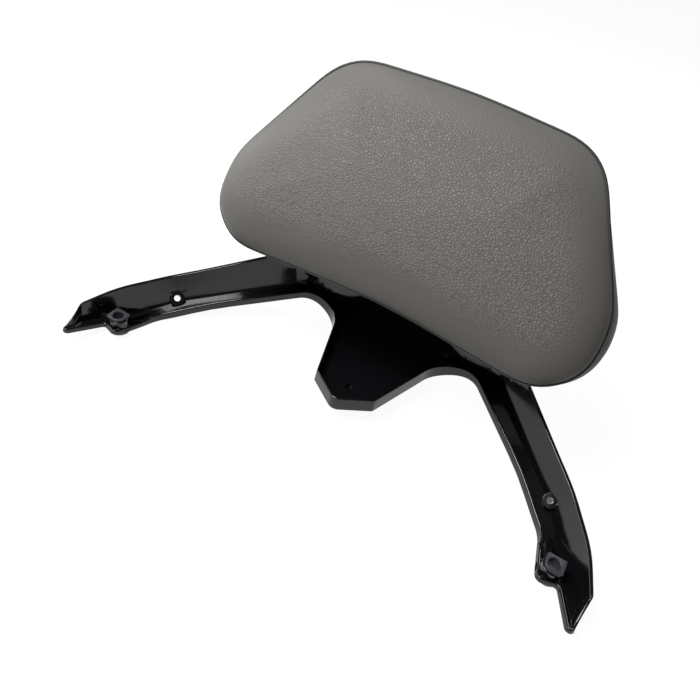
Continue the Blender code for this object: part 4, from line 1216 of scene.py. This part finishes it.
def build_riser():
    """The upright behind the pad: it grows out of the rear wall and bends flat against the pan."""
    half_columns = range(-RISER_COLUMNS, RISER_COLUMNS + 1)
    shares = [math.copysign(abs(step / RISER_COLUMNS) ** 0.8, step) for step in half_columns]
    path = riser_path()
    backs = [riser_back_row(place, shares, path[0].y) for place in path]
    last_row = len(path) - 1
    last_column = len(shares) - 1
    rings = []
    for index, row in enumerate(backs):
        front = []
        for column, point in enumerate(row):
            across = row[min(column + 1, last_column)] - row[max(column - 1, 0)]
            up = backs[min(index + 1, last_row)][column] - backs[max(index - 1, 0)][column]
            normal = across.cross(up).normalized()
            full = smooth_step(1 - abs(shares[column]), 0, RISER_EDGE_SHARE)
            thickness = RISER_EDGE_THICKNESS
            thickness += (RISER_THICKNESS - RISER_EDGE_THICKNESS) * full
            front.append(point + normal * thickness)
        right = (row[-1] - row[-2]).normalized()
        left = (row[0] - row[1]).normalized()
        rings.append([
            *front, *half_round(front[-1], row[-1], right),
            *row[::-1], *half_round(row[0], front[0], left),
        ])
    return loft(rings, len(shares), EDGE_ROUND_STEPS - 1)


def riser_rib(x):
    """One upright rib on the riser's back, with a rounded edge."""
    path = [place for place in riser_path() if place.y > RISER_RIB_ROOT_Z][:-RISER_TOP_STEPS // 2]
    half = RISER_RIB_THICKNESS / 2
    rings = []
    for index, place in enumerate(path):
        share = index / (len(path) - 1)
        along = (path[min(index + 1, len(path) - 1)] - path[max(index - 1, 0)]).normalized()
        behind = Vector((along.y, -along.x))
        swell = math.sqrt(max(math.sin(math.pi * share), 0))
        depth = RISER_RIB_DEPTH * swell + RISER_RIB_END_DEPTH - half
        front = place - behind * RISER_EDGE_THICKNESS
        ring = [Vector((x - half, *front)), Vector((x + half, *front))]
        near = Vector((x + half, *(place + behind * depth)))
        far = Vector((x - half, *(place + behind * depth)))
        rings.append([*ring, near, *half_round(near, far, Vector((0, *behind))), far])
    bm = bmesh.new()
    made = [[bm.verts.new(point) for point in ring] for ring in rings]
    for lower, upper in zip(made, made[1:]):
        bridge(bm, lower, upper)
    bm.faces.new(made[0])
    bm.faces.new(made[-1])
    return tool_object(bm)


def rounded_boss(radius, low, high, rim=BOSS_ROUND):
    """A profile for a boss whose upper rim is rounded."""
    profile = [(radius, low)]
    profile += [(radius - rim * run, high - rim * (1 - rise)) for run, rise in quarter_turn()]
    return profile


def nut_boss_tools(side):
    """The stepped boss on one ear with its foot, and the two ribs that run back from it."""
    x = side * NUT_PLACE[0]
    y = NUT_PLACE[1]
    ledge = underside(x, y) + FLOOR_THICKNESS
    foot = [(NUT_FOOT_RADIUS - BOSS_ROUND * (1 - run), NUT_FOOT_LEVEL + BOSS_ROUND * rise)
            for rise, run in quarter_turn()]
    fillet = [
        (NUT_BOSS_RADIUS + NUT_BOSS_FILLET * (1 - rise), ledge + NUT_BOSS_FILLET * run)
        for run, rise in quarter_turn()
    ]
    boss = rounded_boss(NUT_BOSS_RADIUS, ledge + NUT_BOSS_FILLET, NUT_BOSS_TOP)[1:]
    tools = [turned_tool(
        [*foot, (NUT_FOOT_RADIUS, ledge - NUT_BOSS_SINK), *fillet, *boss], (x, y, 0),
    )]
    for end_x, end_y in RIB_ENDS:
        start = Vector((x, y))
        finish_point = Vector((side * end_x, end_y))
        along = (finish_point - start).normalized()
        half = Vector((-along.y, along.x)) * RIB_THICKNESS / 2
        start += along * (NUT_BARREL_RADIUS + RIB_THICKNESS)
        bm = bmesh.new()
        outline = []
        for place, rise in ((start, RIB_RISE), (finish_point, FLOOR_THICKNESS)):
            low = underside(*place) + FLOOR_THICKNESS / 2
            outline.append(((*(place - half), low), (*(place - half), low + rise)))
        (near_low, near_high), (far_low, far_high) = outline
        lower = [bm.verts.new(point) for point in (near_low, far_low, far_high, near_high)]
        upper = [bm.verts.new(vertex.co + Vector((*(half * 2), 0))) for vertex in lower]
        bm.faces.new(lower)
        bm.faces.new(upper)
        bridge(bm, lower, upper)
        bmesh.ops.bevel(
            bm, geom=bm.edges[:], offset=RIB_ROUND, segments=ROUND_STEPS, affect="EDGES",
        )
        tools.append(tool_object(bm))
    return tools


def bracket_joins():
    """Everything that is cast onto the tray."""
    tools = [build_riser(), riser_rib(-RISER_RIB_X), riser_rib(RISER_RIB_X)]
    seat = [(radius, -height) for radius, height in rounded_boss(
        RISER_BOSS_RADIUS, -RISER_THICKNESS / 2, RISER_BOSS_HEIGHT,
    )]
    for u in BOLT_COLUMNS:
        for v in BOLT_ROWS:
            tools.append(turned_tool(seat, on_pad(u, v, RISER_BACK), PAD_AXIS))
    for side in (-1, 1):
        tools += nut_boss_tools(side)
        place, axis = side_boss_place(side)
        boss = rounded_boss(SIDE_BOSS_RADIUS, -SIDE_BOSS_BACK, SIDE_BOSS_FRONT)
        tools.append(turned_tool(boss, place, axis))
    return tools


def side_boss_place(side):
    """Where one arm's tilted side boss stands, and its axis."""
    place = (side * SIDE_BOSS[0], SIDE_BOSS[1], SIDE_BOSS[2])
    return place, (side * SIDE_BOSS_AXIS[0], SIDE_BOSS_AXIS[1], SIDE_BOSS_AXIS[2])


def bracket_cuts():
    """The cutters of the bracket's bores and of the tongue's blind hole."""
    blind = [(TONGUE_HOLE_RADIUS, TONGUE_UNDERSIDE + TONGUE_HOLE_FLOOR), (TONGUE_HOLE_RADIUS, THROUGH)]
    tools = [turned_tool(blind, (*TONGUE_HOLE, 0))]
    for u in BOLT_COLUMNS:
        for v in BOLT_ROWS:
            tools.append(drill(BOLT_HOLE_RADIUS, on_pad(u, v, RISER_BACK), PAD_AXIS))
    for side in (-1, 1):
        place, axis = side_boss_place(side)
        tools.append(drill(SIDE_BORE_RADIUS, place, axis, THROUGH / 2))
        nut_place = (side * NUT_PLACE[0], NUT_PLACE[1], 0)
        shoulder = NUT_BOSS_TOP - NUT_BARREL_LENGTH - GAP
        wide = [
            (NUT_BORE_RADIUS, -THROUGH), (NUT_BORE_RADIUS, shoulder),
            (NUT_BARREL_RADIUS + GAP, shoulder), (NUT_BARREL_RADIUS + GAP, THROUGH),
        ]
        tools.append(turned_tool(wide, nut_place))
    return tools


def build_bracket(paint):
    """The whole casting: tray, riser, ribs, bosses and their bores."""
    casting = build_tray()
    combine(casting, bracket_joins(), "UNION")
    combine(casting, bracket_cuts(), "DIFFERENCE")
    casting.data.transform(Matrix.Translation(BRACKET_PLACE))
    casting.data.shade_smooth()
    casting.data.set_sharp_from_angle(angle=math.radians(CASTING_SHARP))
    even_normals = casting.modifiers.new("even_normals", "WEIGHTED_NORMAL")
    even_normals.keep_sharp = True
    casting.data.materials.append(paint)
    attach(casting, "root")
    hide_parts("bracket_casting")
    return casting


def build_nut(side, word, metal):
    """One ear's nut: a barrel under a flange with one round corner and broken edges."""
    corners = [(side * x, y, radius) for x, y, radius in NUT_CORNERS]
    if side < 0:
        corners.reverse()
    rings = []
    seat = NUT_BOSS_TOP + GAP
    for rise, run in quarter_turn():
        loop = rounded_loop(corners, NUT_ROUND * (1 - run))
        rings.append([(*point, seat + NUT_ROUND * rise) for point in loop])
    for run, rise in quarter_turn():
        loop = rounded_loop(corners, NUT_ROUND * run)
        level = seat + NUT_FLANGE_THICKNESS - NUT_ROUND * (1 - rise)
        rings.append([(*point, level) for point in loop])
    bm = solid_from_rings(rings)
    bmesh.ops.recalc_face_normals(bm, faces=bm.faces)
    nut = make_object(f"flange_nut_{word}", bm)
    top = seat + NUT_FLANGE_THICKNESS
    barrel = [
        (NUT_BARREL_RADIUS - NUT_ROUND, NUT_BOSS_TOP - NUT_BARREL_LENGTH),
        (NUT_BARREL_RADIUS, NUT_BOSS_TOP - NUT_BARREL_LENGTH + NUT_ROUND),
        (NUT_BARREL_RADIUS, seat + NUT_FLANGE_THICKNESS / 2),
    ]
    combine(nut, [turned_tool(barrel, (0, 0, 0))], "UNION")
    bore = [
        (NUT_BORE_RADIUS, -THROUGH), (NUT_BORE_RADIUS, top - NUT_CHAMFER),
        (NUT_BORE_RADIUS + NUT_CHAMFER, top), (NUT_BORE_RADIUS + NUT_CHAMFER, top + THROUGH),
    ]
    combine(nut, [turned_tool(bore, (0, 0, 0))], "DIFFERENCE")
    place = Vector((side * NUT_PLACE[0], NUT_PLACE[1], 0)) + Vector(BRACKET_PLACE)
    nut.data.transform(Matrix.Translation(place))
    nut.data.shade_smooth()
    nut.data.set_sharp_from_angle(angle=math.radians(CASTING_SHARP))
    nut.data.materials.append(metal)
    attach(nut, "root")
    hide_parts(f"arm_nut_{word}")
    return nut


# Stage


def build_camera():
    """The camera at the photograph's viewing angle."""
    data = bpy.data.cameras.new("camera")
    data.lens = CAMERA_LENS
    data.sensor_width = CAMERA_SENSOR
    camera = bpy.data.objects.new("camera", data)
    bpy.context.scene.collection.objects.link(camera)
    look = Vector(CAMERA_AIM) - Vector(CAMERA_PLACE)
    turn = look.to_track_quat("-Z", "Y").to_matrix() @ Matrix.Rotation(CAMERA_ROLL, 3, "Z")
    camera.matrix_world = Matrix.Translation(CAMERA_PLACE) @ turn.to_4x4()
    bpy.context.scene.camera = camera


def area_lamp(name, place, aim, size, power):
    """A square soft lamp turned to a point."""
    data = bpy.data.lights.new(name, "AREA")
    data.shape = "SQUARE"
    data.size = size
    data.energy = power
    lamp = bpy.data.objects.new(name, data)
    bpy.context.scene.collection.objects.link(lamp)
    look = Vector(aim) - Vector(place)
    lamp.matrix_world = (
        Matrix.Translation(place) @ look.to_track_quat("-Z", "Y").to_matrix().to_4x4()
    )


def seen_by(nodes, links, first_ray, second_ray):
    """1 for rays of two kinds, else 0."""
    path = nodes.new("ShaderNodeLightPath")
    either = nodes.new("ShaderNodeMath")
    either.operation = "MAXIMUM"
    links.new(path.outputs[first_ray], either.inputs[0])
    links.new(path.outputs[second_ray], either.inputs[1])
    return either.outputs[0]


def build_world(ambient):
    """An even world: white where it is seen, dimmer as a light."""
    world = bpy.data.worlds.new("studio")
    bpy.context.scene.world = world
    world.use_nodes = True
    nodes = world.node_tree.nodes
    links = world.node_tree.links
    background = nodes["Background"]
    background.inputs["Color"].default_value = (1, 1, 1, 1)
    level = nodes.new("ShaderNodeMapRange")
    seen = seen_by(nodes, links, "Is Camera Ray", "Is Transmission Ray")
    links.new(seen, level.inputs["Value"])
    level.inputs["To Min"].default_value = ambient
    level.inputs["To Max"].default_value = 1.0
    links.new(level.outputs["Result"], background.inputs["Strength"])


def build_floor(level):
    """A pale floor that looks white and keeps a soft shadow."""
    bpy.ops.mesh.primitive_plane_add(size=12, location=(0, 0, level))
    floor = bpy.context.object
    floor.name = "studio_floor"
    material = bpy.data.materials.new("studio_floor")
    material.use_nodes = True
    nodes = material.node_tree.nodes
    links = material.node_tree.links
    nodes.clear()
    output = nodes.new("ShaderNodeOutputMaterial")
    paint = nodes.new("ShaderNodeBsdfDiffuse")
    paint.inputs["Color"].default_value = (0.45, 0.45, 0.45, 1)
    glow = nodes.new("ShaderNodeEmission")
    glow.inputs["Strength"].default_value = FLOOR_GLOW
    share = nodes.new("ShaderNodeMath")
    share.operation = "MULTIPLY"
    links.new(seen_by(nodes, links, "Is Camera Ray", "Is Glossy Ray"), share.inputs[0])
    share.inputs[1].default_value = FLOOR_GLOW_SHARE
    mix = nodes.new("ShaderNodeMixShader")
    links.new(share.outputs[0], mix.inputs["Fac"])
    links.new(paint.outputs["BSDF"], mix.inputs[1])
    links.new(glow.outputs["Emission"], mix.inputs[2])
    links.new(mix.outputs["Shader"], output.inputs["Surface"])
    floor.data.materials.append(material)


def build_lamps():
    """A large lamp above the front, one low to the left and a weak one behind."""
    aim = (0, 0, 0.07)
    area_lamp("key_lamp", (-0.45, -0.35, 1.05), aim, 0.6, 17)
    area_lamp("left_lamp", (-1.0, 0.0, 0.5), aim, 0.6, 6)
    area_lamp("rear_lamp", (0.3, 1.0, 0.7), aim, 0.5, 5)


# The whole scene


def dress(frame, nodes, surface):
    """Give CAD nodes a material."""
    for name in nodes:
        mesh = frame["nodes"][name].data
        mesh.materials.clear()
        mesh.materials.append(surface)


def main():
    """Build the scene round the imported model."""
    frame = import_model()
    cad_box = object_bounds()
    build_camera()
    materials = {
        "front": leatherette("front_leatherette", (0.134, 0.128, 0.116), 2.1 * MM, 0.3 * MM, 0.48),
        "side": leatherette("side_leatherette", (0.085, 0.085, 0.084), 1.2 * MM, 0.15 * MM, 0.5),
        "paint": gloss_paint("casting_paint", (0.004, 0.004, 0.005)),
        "zinc": plated_metal("dark_zinc", (0.045, 0.045, 0.055), 0.5, 0.6),
        "shell": moulded_plastic("shell_plastic", (0.02, 0.02, 0.02)),
        "foam": open_foam("foam", (0.25, 0.25, 0.24)),
        "cord": woven_cord("piping", (0.01, 0.01, 0.01)),
        "brass": plated_metal("insert_brass", (0.65, 0.48, 0.2), 0.35, 1.0),
        "bolt": plated_metal("bolt_steel", (0.03, 0.03, 0.03), 0.4, 0.8),
        "washer": plated_metal("washer_steel", (0.6, 0.6, 0.58), 0.35, 1.0),
    }
    build_bracket(materials["paint"])
    build_nut(-1, "left", materials["zinc"])
    build_nut(1, "right", materials["zinc"])
    dress(frame, ["pad_base_shell"], materials["shell"])
    numbers = range(1, 5)
    dress(frame, [f"thread_insert_{number}" for number in numbers], materials["brass"])
    dress(frame, [f"pad_bolt_{number}" for number in numbers], materials["bolt"])
    dress(frame, [f"pad_washer_{number}" for number in numbers], materials["washer"])
    dress(frame, [f"pad_spring_washer_{number}" for number in numbers], materials["washer"])
    build_pad(materials)
    build_world(AMBIENT)
    build_floor(cad_box[0].z - 0.3 * MM)
    build_lamps()
    bpy.context.scene.view_settings.view_transform = "Standard"


main()
